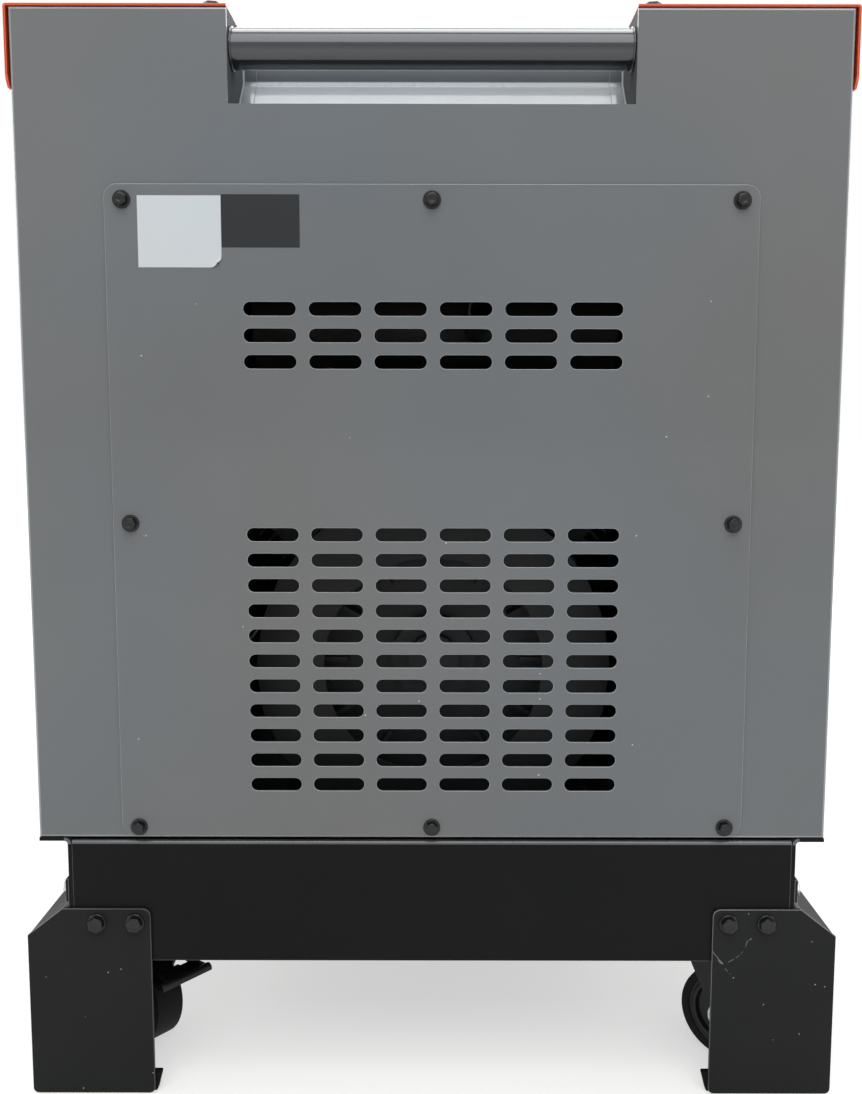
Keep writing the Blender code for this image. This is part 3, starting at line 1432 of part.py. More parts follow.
GREY = paint("grey_paint", (0.180, 0.196, 0.210), 0.38)
DARK_GREY = paint("dark_grey_paint", (0.030, 0.031, 0.033), 0.50)
ORANGE = paint("orange_paint", (0.830, 0.105, 0.032), 0.35)
BLACK = paint("black_paint", (0.014, 0.014, 0.015), 0.42)
STAND_BLACK = paint("matte_black_paint", (0.021, 0.022, 0.024), 0.55)
BLACK_STEEL = paint("black_steel", (0.018, 0.018, 0.019), 0.45, 0.2)
BLACK_PLASTIC = paint("black_plastic", (0.016, 0.016, 0.017), 0.50)
RUBBER = paint("rubber", (0.012, 0.012, 0.012), 0.75)
STEEL = paint("steel", (0.480, 0.480, 0.470), 0.35, 0.9)
CAST = paint("cast_aluminium", (0.330, 0.335, 0.340), 0.55, 0.8)
RED = paint("red_plastic", (0.550, 0.020, 0.015), 0.40)
BLUE = paint("blue_plastic", (0.020, 0.090, 0.400), 0.40)

for rail_side in SIDES:
    base_rail(rail_side)
for plate_end in ENDS:
    base_end_plate(plate_end)
base_floor()
for corner_end in ENDS:
    for corner_side in SIDES:
        stand(corner_end, corner_side)
        caster(corner_end, corner_side)
for panel_end in ENDS:
    end_panel(panel_end)
    handle_pocket(panel_end)
access_panel()
hood()
for panel_side in SIDES:
    side_panel(panel_side)
    door(panel_side)
control_panel()
fuel_tank()
engine_cradle()
crankcase()
crankshaft()
for bank_side in SIDES:
    cylinder(bank_side)
flywheel_fan()
blower_housing()
alternator()
muffler()
air_cleaner()
battery()
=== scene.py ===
"""Looks of an enclosed engine-driven power set: grey sheet body, orange hood, black skid base on casters.

Metres, +Z up, the ventilated rear end faces -Y. Left is -X, as seen from the rear end.
"""

import json
import math

import bmesh
import bpy
from mathutils import Matrix, Vector


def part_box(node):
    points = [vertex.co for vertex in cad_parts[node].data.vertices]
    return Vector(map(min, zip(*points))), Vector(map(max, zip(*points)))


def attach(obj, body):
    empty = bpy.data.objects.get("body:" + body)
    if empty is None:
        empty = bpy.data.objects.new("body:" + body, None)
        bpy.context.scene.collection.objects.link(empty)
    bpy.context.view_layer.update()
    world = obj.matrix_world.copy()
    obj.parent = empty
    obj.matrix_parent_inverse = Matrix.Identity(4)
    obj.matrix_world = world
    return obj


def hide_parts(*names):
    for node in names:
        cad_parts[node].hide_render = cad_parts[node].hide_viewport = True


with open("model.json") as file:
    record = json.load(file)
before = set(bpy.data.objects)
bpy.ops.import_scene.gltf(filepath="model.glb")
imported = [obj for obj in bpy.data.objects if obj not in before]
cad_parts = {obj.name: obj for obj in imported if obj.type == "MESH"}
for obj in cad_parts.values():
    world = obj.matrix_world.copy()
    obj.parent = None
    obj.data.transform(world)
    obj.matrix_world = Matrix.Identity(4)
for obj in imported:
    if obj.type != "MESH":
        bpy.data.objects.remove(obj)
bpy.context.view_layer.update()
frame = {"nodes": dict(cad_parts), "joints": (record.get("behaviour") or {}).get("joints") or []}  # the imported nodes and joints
nodes = frame["nodes"]

# ---------------------------------------------------------------- studio
# A pale floor that runs off to white, a broad lamp over the rear end, one over the hood and a weak
# one at each side. The camera stands at knee-to-waist height in front of the rear end.
scene = bpy.context.scene
scene.view_settings.view_transform = "Standard"

camera_data = bpy.data.cameras.new("camera")
camera_data.lens = 37.90
camera_data.sensor_width = 36.0
camera_data.shift_x = -0.0137
camera = bpy.data.objects.new("camera", camera_data)
camera.location = (0.012, -1.567, 0.612)
camera.rotation_euler = (math.radians(83.62), math.radians(-0.10), 0.0)
scene.collection.objects.link(camera)
scene.camera = camera



def looked_at(tree):
    """1 along a ray from the camera, off a gloss or through glass, and 0 where light falls on a piece."""
    rays = tree.nodes.new("ShaderNodeLightPath")
    total = rays.outputs["Is Camera Ray"]
    for kind in ("Is Glossy Ray", "Is Transmission Ray"):
        either = tree.nodes.new("ShaderNodeMath")
        either.operation = "MAXIMUM"
        tree.links.new(total, either.inputs[0])
        tree.links.new(rays.outputs[kind], either.inputs[1])
        total = either.outputs[0]
    return total


world = bpy.data.worlds.new("studio_air")
scene.world = world
world.use_nodes = True
air = world.node_tree
air.nodes.clear()
soft_light = air.nodes.new("ShaderNodeBackground")
soft_light.inputs["Color"].default_value = (0.93, 0.97, 1.0, 1.0)
soft_light.inputs["Strength"].default_value = 0.40
white_wall = air.nodes.new("ShaderNodeBackground")
white_wall.inputs["Color"].default_value = (1.0, 1.0, 1.0, 1.0)
white_wall.inputs["Strength"].default_value = 1.0
wall_or_light = air.nodes.new("ShaderNodeMixShader")
air_out = air.nodes.new("ShaderNodeOutputWorld")
air.links.new(looked_at(air), wall_or_light.inputs["Fac"])
air.links.new(soft_light.outputs[0], wall_or_light.inputs[1])
air.links.new(white_wall.outputs[0], wall_or_light.inputs[2])
air.links.new(wall_or_light.outputs[0], air_out.inputs["Surface"])

for lamp_name, place, aim, size, power in (
    ("rear_lamp", (0.0, -2.3, 2.8), (0.0, -0.55, 0.85), (2.6, 2.4), 58.0),
    ("top_lamp", (0.0, -0.20, 2.5), (0.0, -0.2, 0.9), (1.5, 1.0), 21.0),
    ("left_lamp", (-3.0, 0.2, 1.7), (0.0, 0.0, 0.5), (1.6, 1.6), 26.0),
    ("right_lamp", (3.0, 0.2, 1.7), (0.0, 0.0, 0.5), (1.6, 1.6), 26.0),
    ("front_lamp", (0.0, 3.0, 2.2), (0.0, 0.4, 0.5), (2.2, 1.4), 40.0),
):
    lamp_data = bpy.data.lights.new(lamp_name, "AREA")
    lamp_data.shape = "RECTANGLE"
    lamp_data.size, lamp_data.size_y = size
    lamp_data.energy = power
    lamp_data.color = (0.95, 0.985, 1.0)
    lamp = bpy.data.objects.new(lamp_name, lamp_data)
    lamp.location = place
    lamp.rotation_euler = (Vector(aim) - Vector(place)).to_track_quat("-Z", "Y").to_euler()
    scene.collection.objects.link(lamp)

bpy.ops.object.select_all(action="DESELECT")
bpy.ops.mesh.primitive_plane_add(size=60.0, location=(0.0, 0.0, -0.0008))
floor = bpy.context.object
floor.name = "pale_floor"
floor_paint = bpy.data.materials.new("pale_floor")
floor_paint.use_nodes = True
floor_tree = floor_paint.node_tree
floor_shader = floor_tree.nodes["Principled BSDF"]
floor_shader.inputs["Base Color"].default_value = (0.62, 0.60, 0.57, 1.0)
floor_shader.inputs["Roughness"].default_value = 0.9
floor_shader.inputs["Specular IOR Level"].default_value = 0.1
floor_place = floor_tree.nodes.new("ShaderNodeTexCoord")
floor_far = floor_tree.nodes.new("ShaderNodeVectorMath")
floor_far.operation = "LENGTH"
floor_fade = floor_tree.nodes.new("ShaderNodeMapRange")
floor_fade.inputs["From Min"].default_value = 0.7
floor_fade.inputs["From Max"].default_value = 3.0
floor_fade.inputs["To Min"].default_value = 0.56
floor_fade.inputs["To Max"].default_value = 1.0
floor_glow = floor_tree.nodes.new("ShaderNodeMath")
floor_glow.operation = "MULTIPLY"
floor_tree.links.new(floor_place.outputs["Object"], floor_far.inputs[0])
floor_tree.links.new(floor_far.outputs["Value"], floor_fade.inputs["Value"])
floor_tree.links.new(floor_fade.outputs["Result"], floor_glow.inputs[1])
floor_tree.links.new(looked_at(floor_tree), floor_glow.inputs[0])
floor_tree.links.new(floor_glow.outputs[0], floor_shader.inputs["Emission Strength"])
floor_shader.inputs["Emission Color"].default_value = (1.0, 1.0, 1.0, 1.0)
floor.data.materials.append(floor_paint)


# ---------------------------------------------------------------- skid base
# Two folded Z rails and two folded end plates, 3 mm steel, welded at the corners and painted satin
# black. Handling has left fine white specks on the paint; the folds carry a painted highlight.
def effect(name, inputs, outputs):
    """An empty shader node group with these named sockets."""
    group = bpy.data.node_groups.new(name, "ShaderNodeTree")
    for label, kind, value in inputs:
        socket = group.interface.new_socket(label, in_out="INPUT", socket_type=kind)
        socket.default_value = value
    for label, kind in outputs:
        group.interface.new_socket(label, in_out="OUTPUT", socket_type=kind)
    group.nodes.new("NodeGroupInput").name = "in"
    group.nodes.new("NodeGroupOutput").name = "out"
    return group


def node(tree, kind, sockets=None, **settings):
    """A node with its settings. A socket takes a value, or another node's output."""
    made = tree.nodes.new("ShaderNode" + kind)
    for setting, value in settings.items():
        setattr(made, setting, value)
    for key, value in (sockets or {}).items():
        if isinstance(value, bpy.types.NodeSocket):
            tree.links.new(value, made.inputs[key])
        else:
            made.inputs[key].default_value = value
    return made


# Paint on sheet metal: a slow drift in tone and hue, orange peel, and specks where it has chipped.
paint_film = effect(
    "paint_film",
    [
        ("Paint", "NodeSocketColor", (0.2, 0.2, 0.2, 1.0)),
        ("Chip", "NodeSocketColor", (0.7, 0.7, 0.7, 1.0)),
        ("Drift", "NodeSocketFloat", 0.06),
        ("Chips", "NodeSocketFloat", 0.06),
        ("Peel", "NodeSocketFloat", 0.05),
        ("Grain size", "NodeSocketFloat", 900.0),
        ("Gloss", "NodeSocketFloat", 0.35),
    ],
    [("Color", "NodeSocketColor"), ("Roughness", "NodeSocketFloat"), ("Normal", "NodeSocketVector")],
)
film_in = paint_film.nodes["in"].outputs
place = node(paint_film, "TexCoord").outputs["Object"]
clouds = node(paint_film, "TexNoise", {"Vector": place, "Scale": 3.2, "Detail": 3.0, "Roughness": 0.55})
middle_range = {"From Min": 0.3, "From Max": 0.7, "To Min": -1.0}  # noise values to -1..1
swing = node(paint_film, "MapRange", {"Value": clouds.outputs["Fac"], **middle_range})
drift = node(
    paint_film, "Math", {0: swing.outputs["Result"], 1: film_in["Drift"], 2: 1.0}, operation="MULTIPLY_ADD"
)
toned = node(paint_film, "VectorMath", {0: film_in["Paint"], "Scale": drift.outputs[0]}, operation="SCALE")
lean = node(paint_film, "TexNoise", {"Vector": place, "Scale": 2.4, "Detail": 2.0, "Roughness": 0.5})
leaning = node(paint_film, "MapRange", {"Value": lean.outputs["Fac"], **middle_range})
held = node(paint_film, "Math", {0: film_in["Drift"], 1: 0.06}, operation="MINIMUM")
cast = node(paint_film, "Math", {0: leaning.outputs["Result"], 1: held.outputs[0]}, operation="MULTIPLY")
cooler = node(paint_film, "VectorMath", {0: (-1.0, 0.0, 1.0), "Scale": cast.outputs[0]}, operation="SCALE")
tint = node(paint_film, "VectorMath", {0: cooler.outputs[0], 1: (1.0, 1.0, 1.0)}, operation="ADD")
hued = node(paint_film, "VectorMath", {0: toned.outputs[0], 1: tint.outputs[0]}, operation="MULTIPLY")
cells = node(paint_film, "TexVoronoi", {"Vector": place, "Scale": 85.0, "Randomness": 1.0})
flecks = node(paint_film, "SeparateColor", {"Color": cells.outputs["Color"]})
reach = node(paint_film, "Math", {0: flecks.outputs["Green"], 1: 0.062}, operation="MULTIPLY")
inside = node(paint_film, "Math", {0: cells.outputs["Distance"], 1: reach.outputs[0]}, operation="LESS_THAN")
chosen = node(paint_film, "Math", {0: flecks.outputs["Red"], 1: film_in["Chips"]}, operation="LESS_THAN")
chip = node(paint_film, "Math", {0: inside.outputs[0], 1: chosen.outputs[0]}, operation="MULTIPLY")
chipped = node(
    paint_film,
    "Mix",
    {"Factor": chip.outputs[0], "A": hued.outputs[0], "B": film_in["Chip"]},
    data_type="RGBA",
)
peel = node(paint_film, "TexNoise", {"Vector": place, "Scale": film_in["Grain size"], "Detail": 1.0})
bump = node(
    paint_film,
    "Bump",
    {"Height": peel.outputs["Fac"], "Strength": film_in["Peel"], "Distance": 0.0004},
)
smear = node(paint_film, "TexNoise", {"Vector": place, "Scale": 14.0, "Detail": 5.0, "Roughness": 0.6})
dulled = node(
    paint_film, "MapRange", {"Value": smear.outputs["Fac"], "From Min": 0.3, "From Max": 0.75, "To Max": 0.10}
)
gloss = node(paint_film, "Math", {0: film_in["Gloss"], 1: dulled.outputs["Result"]}, operation="ADD")
film_out = paint_film.nodes["out"].inputs
paint_film.links.new(chipped.outputs["Result"], film_out["Color"])
paint_film.links.new(gloss.outputs[0], film_out["Roughness"])
paint_film.links.new(bump.outputs["Normal"], film_out["Normal"])


def filmed(name, paint, chip, drift, chips, peel_depth, grain, roughness, coat=0.0, metallic=0.0, shine=0.5):
    """A painted, moulded or bare-metal material: the film group feeds a Principled shader."""
    material = bpy.data.materials.new(name)
    material.use_nodes = True
    tree = material.node_tree
    shader = tree.nodes["Principled BSDF"]
    film = tree.nodes.new("ShaderNodeGroup")
    film.node_tree = paint_film
    film.inputs["Paint"].default_value = (*paint, 1.0)
    film.inputs["Chip"].default_value = (*chip, 1.0)
    film.inputs["Drift"].default_value = drift
    film.inputs["Chips"].default_value = chips
    film.inputs["Peel"].default_value = peel_depth
    film.inputs["Grain size"].default_value = grain
    film.inputs["Gloss"].default_value = roughness
    tree.links.new(film.outputs["Color"], shader.inputs["Base Color"])
    tree.links.new(film.outputs["Roughness"], shader.inputs["Roughness"])
    tree.links.new(film.outputs["Normal"], shader.inputs["Normal"])
    shader.inputs["Metallic"].default_value = metallic
    shader.inputs["Specular IOR Level"].default_value = shine
    shader.inputs["Coat Weight"].default_value = coat
    shader.inputs["Coat Roughness"].default_value = 0.06
    return material


base_black = filmed(
    "base_black", paint=(0.0075, 0.0073, 0.0074), chip=(0.45, 0.45, 0.43),
    drift=0.12, chips=0.34, peel_depth=0.06, grain=700.0, roughness=0.48,
    shine=0.10,
)
# Painted highlight: the folds take a lighter, glossier paint for the light caught on the bends.
fold_highlight_black = filmed(
    "fold_highlight_black", paint=(0.060, 0.060, 0.062), chip=(0.50, 0.50, 0.48),
    drift=0.45, chips=0.20, peel_depth=0.10, grain=400.0, roughness=0.22,
    shine=0.9,
)


def pick(obj, kind, test):
    """In edit mode, selects exactly the vertices, edges or faces that pass the test."""
    modes = ("VERT", "EDGE", "FACE")
    bpy.context.tool_settings.mesh_select_mode = tuple(kind == mode for mode in modes)
    mesh = bmesh.from_edit_mesh(obj.data)
    for group in (mesh.faces, mesh.edges, mesh.verts):
        for item in group:
            item.select = False
    for item in {"VERT": mesh.verts, "EDGE": mesh.edges, "FACE": mesh.faces}[kind]:
        if test(item):
            item.select_set(True)
    mesh.select_flush_mode()
    bmesh.update_edit_mesh(obj.data)


def only(obj):
    """Selects this piece alone and makes it the active one."""
    bpy.ops.object.select_all(action="DESELECT")
    obj.select_set(True)
    bpy.context.view_layer.objects.active = obj


def apply_all(obj):
    """Applies the piece's modifiers in their order."""
    only(obj)
    for modifier in list(obj.modifiers):
        bpy.ops.object.modifier_apply(modifier=modifier.name)


def block(centre, size):
    """A box of this size about its centre."""
    bpy.ops.object.select_all(action="DESELECT")
    bpy.ops.mesh.primitive_cube_add(size=1.0, location=centre)
    made = bpy.context.object
    made.scale = size
    bpy.ops.object.transform_apply()
    return made


def block_between(low, high):
    """A box between two opposite corners."""
    return block([(a + b) / 2 for a, b in zip(low, high)], [abs(b - a) for a, b in zip(low, high)])


def cut_out(obj, low, high):
    """Saws a box out of the piece."""
    cut_with(obj, block_between(low, high))


def cut_with(obj, saw):
    """Takes the saw's shape out of the piece, and the saw away."""
    difference = obj.modifiers.new("saw", "BOOLEAN")
    difference.object = saw
    difference.solver = "EXACT"
    apply_all(obj)
    bpy.data.objects.remove(saw)


def soften(obj, width=0.0004, steps=2, rim_wear_and_highlight=False, angle=35.0):
    """Breaks the sharp rims, and shades the flats flat. Rims can take the second material: real wear on the
    stands, a painted highlight on the other pieces.
    """
    rims = obj.modifiers.new("rims", "BEVEL")
    rims.width = width
    rims.segments = steps
    rims.limit_method = "ANGLE"
    rims.angle_limit = math.radians(angle)
    rims.harden_normals = False
    rims.material = 1 if rim_wear_and_highlight else -1
    apply_all(obj)
    obj.data.shade_smooth()
    flats = obj.modifiers.new("flats", "WEIGHTED_NORMAL")
    flats.weight = 100
    flats.keep_sharp = True
    apply_all(obj)


def painted(obj, *materials):
    """Changes the piece's paints. Faces keep the number of their slot."""
    kept = [face.material_index for face in obj.data.polygons]
    obj.data.materials.clear()
    for material in materials:
        obj.data.materials.append(material)
    for face, number in zip(obj.data.polygons, kept):
        face.material_index = min(number, len(materials) - 1)


def folded_sheet(name, profile, axis, start, end, gauge, inside, bend=0.003):
    """Sheet folded along an axis. The profile is its outer line; inside is a point on its inner side."""
    run = "XYZ".index(axis)
    lanes = [lane for lane in range(3) if lane != run]

    def spot(pair, along):
        corner = [0.0, 0.0, 0.0]
        corner[run] = along
        corner[lanes[0]], corner[lanes[1]] = pair
        return Vector(corner)

    bpy.ops.object.select_all(action="DESELECT")
    bpy.ops.mesh.primitive_plane_add(size=1.0)
    sheet = bpy.context.object
    sheet.name = name
    painted(sheet, base_black, fold_highlight_black)
    first, second = profile[0], profile[1]
    corners = [spot(first, start), spot(first, end), spot(second, start), spot(second, end)]
    for vertex, corner in zip(sheet.data.vertices, corners):
        vertex.co = corner
    facing = (corners[1] - corners[0]).cross(corners[2] - corners[0])
    inward = facing.dot(spot(inside, start) - corners[0])
    bpy.ops.object.mode_set(mode="EDIT")
    for before, after in zip(profile[1:], profile[2:]):
        ends = (spot(before, start), spot(before, end))
        pick(sheet, "VERT", lambda v: min((v.co - e).length for e in ends) < 1e-6)
        step = spot(after, start) - spot(before, start)
        bpy.ops.mesh.extrude_region_move(TRANSFORM_OT_translate={"value": step})
    if bend > 0:
        folds = [spot(pair, start) for pair in profile[1:-1]]

        def on_fold(edge):
            low, high = sorted((vertex.co for vertex in edge.verts), key=lambda co: abs(co[run] - start))
            along = (high - low).normalized()
            return abs(abs(along[run]) - 1) < 1e-4 and min((low - fold).length for fold in folds) < 1e-6

        pick(sheet, "EDGE", on_fold)
        bpy.ops.mesh.bevel(offset=bend, segments=4, affect="EDGES", material=1)
    bpy.ops.object.mode_set(mode="OBJECT")
    thick = sheet.modifiers.new("gauge", "SOLIDIFY")
    thick.thickness = gauge
    thick.offset = 1.0 if inward > 0 else -1.0
    thick.use_even_offset = True
    apply_all(sheet)
    bpy.ops.object.mode_set(mode="EDIT")
    bpy.ops.mesh.select_all(action="SELECT")
    bpy.ops.mesh.normals_make_consistent(inside=False)
    bpy.ops.object.mode_set(mode="OBJECT")
    return sheet


def joined(name, pieces):
    """The pieces as one mesh of this name."""
    bpy.ops.object.select_all(action="DESELECT")
    for piece in pieces:
        piece.select_set(True)
    bpy.context.view_layer.objects.active = pieces[0]
    if len(pieces) > 1:
        bpy.ops.object.join()
    pieces[0].name = name
    pieces[0].data.name = name
    return pieces[0]


plate = 0.003
base_low, base_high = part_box("rear_base_plate")
hair = 0.0003  # gap between two pieces that touch
rail_x = base_high.x + hair + plate
for side_name, side in (("left", -1), ("right", 1)):
    low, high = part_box(f"{side_name}_base_rail")
    outer = max(abs(low.x), abs(high.x))
    inner = min(abs(low.x), abs(high.x))
    line = [(inner, low.z), (rail_x, low.z), (rail_x, high.z - plate), (outer, high.z - plate)]
    rail = folded_sheet(
        f"{side_name}_skid_rail",
        [(side * x, z) for x, z in line],
        "Y",
        low.y,
        high.y,
        plate,
        (side * inner, high.z),
        bend=0.0032,
    )
    for end in (-1, 1):  # the lower flange stops short of the end plates
        clear = high.y - plate - hair
        cut_out(
            rail,
            (side * (inner - 0.01), end * clear, low.z - 0.01),
            (side * (rail_x - plate), end * (high.y + 0.01), low.z + 2 * plate),
        )
    painted(rail, base_black, fold_highlight_black)
    soften(rail, 0.0005, rim_wear_and_highlight=True)
    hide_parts(f"{side_name}_base_rail")
    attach(rail, "machine")

for end_name, end in (("rear", -1), ("front", 1)):
    low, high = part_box(f"{end_name}_base_plate")
    face = max(abs(low.y), abs(high.y))
    lip = min(abs(low.y), abs(high.y))
    fold_z = high.z - 0.0022
    plate_piece = folded_sheet(
        f"{end_name}_skid_plate",
        [(end * face, low.z), (end * face, fold_z), (end * lip, fold_z)],
        "X",
        low.x,
        high.x,
        plate,
        (end * lip, low.z),
        bend=0.0035,
    )
    soften(plate_piece, 0.0006, rim_wear_and_highlight=True)
    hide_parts(f"{end_name}_base_plate")
    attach(plate_piece, "machine")

nodes["base_floor"].data.materials.clear()
nodes["base_floor"].data.materials.append(base_black)


# ---------------------------------------------------------------- stands
# Four bent legs of 3 mm plate in matte black powder coat, each held by two flanged bolts in the skid
# plate and two in the rail. The end plate is welded to a side guard with a sloped shoulder.
scuffs = effect(
    "scuffs",
    [
        ("Size", "NodeSocketFloat", 15.0),
        ("Width", "NodeSocketFloat", 0.006),
        ("Share", "NodeSocketFloat", 0.60),
    ],
    [("Mask", "NodeSocketFloat")],
)
scuff_in = scuffs.nodes["in"].outputs
scuff_spot = node(scuffs, "TexCoord").outputs["Object"]
scuff_flip = node(scuffs, "VectorMath", {0: scuff_spot, 1: (-1.0, 1.0, 1.0)}, operation="MULTIPLY")
scuff_place = scuff_flip.outputs["Vector"]
waver = node(scuffs, "TexNoise", {"Vector": scuff_place, "Scale": 26.0, "Detail": 2.0})
wavered = node(
    scuffs,
    "MixRGB",
    {"Fac": 0.035, "Color1": scuff_place, "Color2": waver.outputs["Color"]},
    blend_type="ADD",
)
lines = node(
    scuffs,
    "TexVoronoi",
    {"Vector": wavered.outputs["Color"], "Scale": scuff_in["Size"]},
    feature="DISTANCE_TO_EDGE",
)
thin = node(scuffs, "Math", {0: lines.outputs["Distance"], 1: scuff_in["Width"]}, operation="LESS_THAN")
patches = node(scuffs, "TexNoise", {"Vector": scuff_place, "Scale": 8.5, "Detail": 1.0})
few = node(scuffs, "Math", {0: patches.outputs["Fac"], 1: scuff_in["Share"]}, operation="GREATER_THAN")
breaks = node(scuffs, "TexNoise", {"Vector": scuff_place, "Scale": 240.0, "Detail": 1.0})
broken = node(scuffs, "Math", {0: breaks.outputs["Fac"], 1: 0.47}, operation="GREATER_THAN")
some = node(scuffs, "Math", {0: thin.outputs[0], 1: few.outputs[0]}, operation="MULTIPLY")
marks = node(scuffs, "Math", {0: some.outputs[0], 1: broken.outputs[0]}, operation="MULTIPLY")
scuffs.links.new(marks.outputs[0], scuffs.nodes["out"].inputs["Mask"])


def scuffed(material, colour, size, width, share, strength):
    """Adds fine wavering scratches over a filmed material."""
    tree = material.node_tree
    shader = tree.nodes["Principled BSDF"]
    under = shader.inputs["Base Color"].links[0].from_socket
    lines_group = tree.nodes.new("ShaderNodeGroup")
    lines_group.node_tree = scuffs
    lines_group.inputs["Size"].default_value = size
    lines_group.inputs["Width"].default_value = width
    lines_group.inputs["Share"].default_value = share
    faint = node(tree, "Math", {0: lines_group.outputs["Mask"], 1: strength}, operation="MULTIPLY")
    over = node(tree, "Mix", {"Factor": faint.outputs[0], "A": under, "B": (*colour, 1.0)}, data_type="RGBA")
    tree.links.new(over.outputs["Result"], shader.inputs["Base Color"])
    return material


stand_black = filmed(
    "stand_black", paint=(0.0175, 0.0177, 0.0180), chip=(0.42, 0.42, 0.40),
    drift=0.16, chips=0.50, peel_depth=0.30, grain=1500.0, roughness=0.55,
    shine=0.12,
)
scuffed(stand_black, (0.30, 0.30, 0.28), 17.0, 0.0050, 0.61, 0.75)
stand_rim = filmed(
    "stand_rim", paint=(0.150, 0.150, 0.144), chip=(0.55, 0.54, 0.50),
    drift=0.85, chips=0.30, peel_depth=0.30, grain=900.0, roughness=0.40,
)
bolt_black = filmed(
    "bolt_black", paint=(0.006, 0.006, 0.007), chip=(0.20, 0.20, 0.19),
    drift=0.25, chips=0.20, peel_depth=0.12, grain=2200.0, roughness=0.20,
    shine=0.35,
)
zinc = filmed(
    "zinc", paint=(0.66, 0.68, 0.64), chip=(0.40, 0.38, 0.30),
    drift=0.20, chips=0.10, peel_depth=0.08, grain=500.0, roughness=0.24,
    metallic=0.80,
)
pad_rubber = filmed(
    "pad_rubber", paint=(0.010, 0.010, 0.010), chip=(0.06, 0.06, 0.06),
    drift=0.20, chips=0.10, peel_depth=0.20, grain=900.0, roughness=0.70,
    shine=0.1,
)


def flat_plate(name, outline, axis, at, gauge):
    """A flat plate of any outline. The gauge runs from `at` along the axis, and its sign gives the way."""
    run = "XYZ".index(axis)
    lanes = [lane for lane in range(3) if lane != run]
    bpy.ops.object.select_all(action="DESELECT")
    bpy.ops.mesh.primitive_circle_add(vertices=len(outline), fill_type="NGON")
    sheet = bpy.context.object
    sheet.name = name
    for vertex, pair in zip(sheet.data.vertices, outline):
        vertex.co[run] = at
        vertex.co[lanes[0]], vertex.co[lanes[1]] = pair
    bpy.ops.object.mode_set(mode="EDIT")
    bpy.ops.mesh.select_all(action="SELECT")
    step = [0.0, 0.0, 0.0]
    step[run] = gauge
    bpy.ops.mesh.extrude_region_move(TRANSFORM_OT_translate={"value": step})
    bpy.ops.mesh.select_all(action="SELECT")
    bpy.ops.mesh.normals_make_consistent(inside=False)
    bpy.ops.object.mode_set(mode="OBJECT")
    return sheet


def round_corners(obj, axis, radius, test, steps=5):
    """Rounds the edges along an axis whose middle passes the test."""
    run = "XYZ".index(axis)

    def chosen_edge(edge):
        one, two = (vertex.co for vertex in edge.verts)
        along = (two - one).normalized()
        return abs(abs(along[run]) - 1) < 1e-4 and test((one + two) / 2)

    only(obj)
    bpy.ops.object.mode_set(mode="EDIT")
    pick(obj, "EDGE", chosen_edge)
    bpy.ops.mesh.bevel(offset=radius, segments=steps, affect="EDGES")
    bpy.ops.object.mode_set(mode="OBJECT")


def creased(obj, degrees):
    """Shades the piece smooth, with a crease along each sharper edge."""
    obj.data.shade_smooth()
    obj.data.set_sharp_from_angle(angle=math.radians(degrees))


def flanged_bolt(name, hex_radius, flange_radius, height, flange):
    """A hex head on its round flange, chamfered, with a dished top. It stands on Z at the origin."""
    bpy.ops.object.select_all(action="DESELECT")
    bpy.ops.mesh.primitive_cylinder_add(
        vertices=6, radius=hex_radius, depth=height - flange, location=(0, 0, (height + flange) / 2)
    )
    head = bpy.context.object
    bpy.ops.object.transform_apply()
    bpy.ops.object.mode_set(mode="EDIT")
    pick(head, "FACE", lambda f: f.normal.z > 0.9)
    bpy.ops.mesh.inset(thickness=hex_radius * 0.14, depth=0.0)
    bpy.ops.transform.translate(value=(0, 0, height * 0.06))
    bpy.ops.mesh.inset(thickness=hex_radius * 0.22, depth=0.0)
    bpy.ops.mesh.inset(thickness=hex_radius * 0.10, depth=-height * 0.06)
    bpy.ops.object.mode_set(mode="OBJECT")
    rims = head.modifiers.new("rims", "BEVEL")
    rims.width = hex_radius * 0.05
    rims.segments = 2
    apply_all(head)
    bpy.ops.object.select_all(action="DESELECT")
    bpy.ops.mesh.primitive_cylinder_add(
        vertices=32, radius=flange_radius, depth=flange, location=(0, 0, flange / 2)
    )
    washer = bpy.context.object
    bpy.ops.object.transform_apply()
    bpy.ops.object.mode_set(mode="EDIT")
    pick(washer, "FACE", lambda f: f.normal.z > 0.9)
    bpy.ops.mesh.inset(thickness=flange_radius * 0.07, depth=0.0)
    bpy.ops.transform.translate(value=(0, 0, flange * 0.45))
    bpy.ops.object.mode_set(mode="OBJECT")
    bolt = joined(name, [head, washer])
    painted(bolt, bolt_black)
    creased(bolt, 28)
    return bolt


def copy_of(pattern, seat, direction, turn=0.0):
    """A copy of the pattern with its own mesh, its Z laid along the direction, at the seat."""
    mesh = pattern.data.copy()
    lay = Vector(direction).to_track_quat("Z", "Y").to_matrix().to_4x4()
    mesh.transform(Matrix.Translation(seat) @ lay @ Matrix.Rotation(turn, 4, "Z"))
    fresh = bpy.data.objects.new(pattern.name, mesh)
    scene.collection.objects.link(fresh)
    return fresh


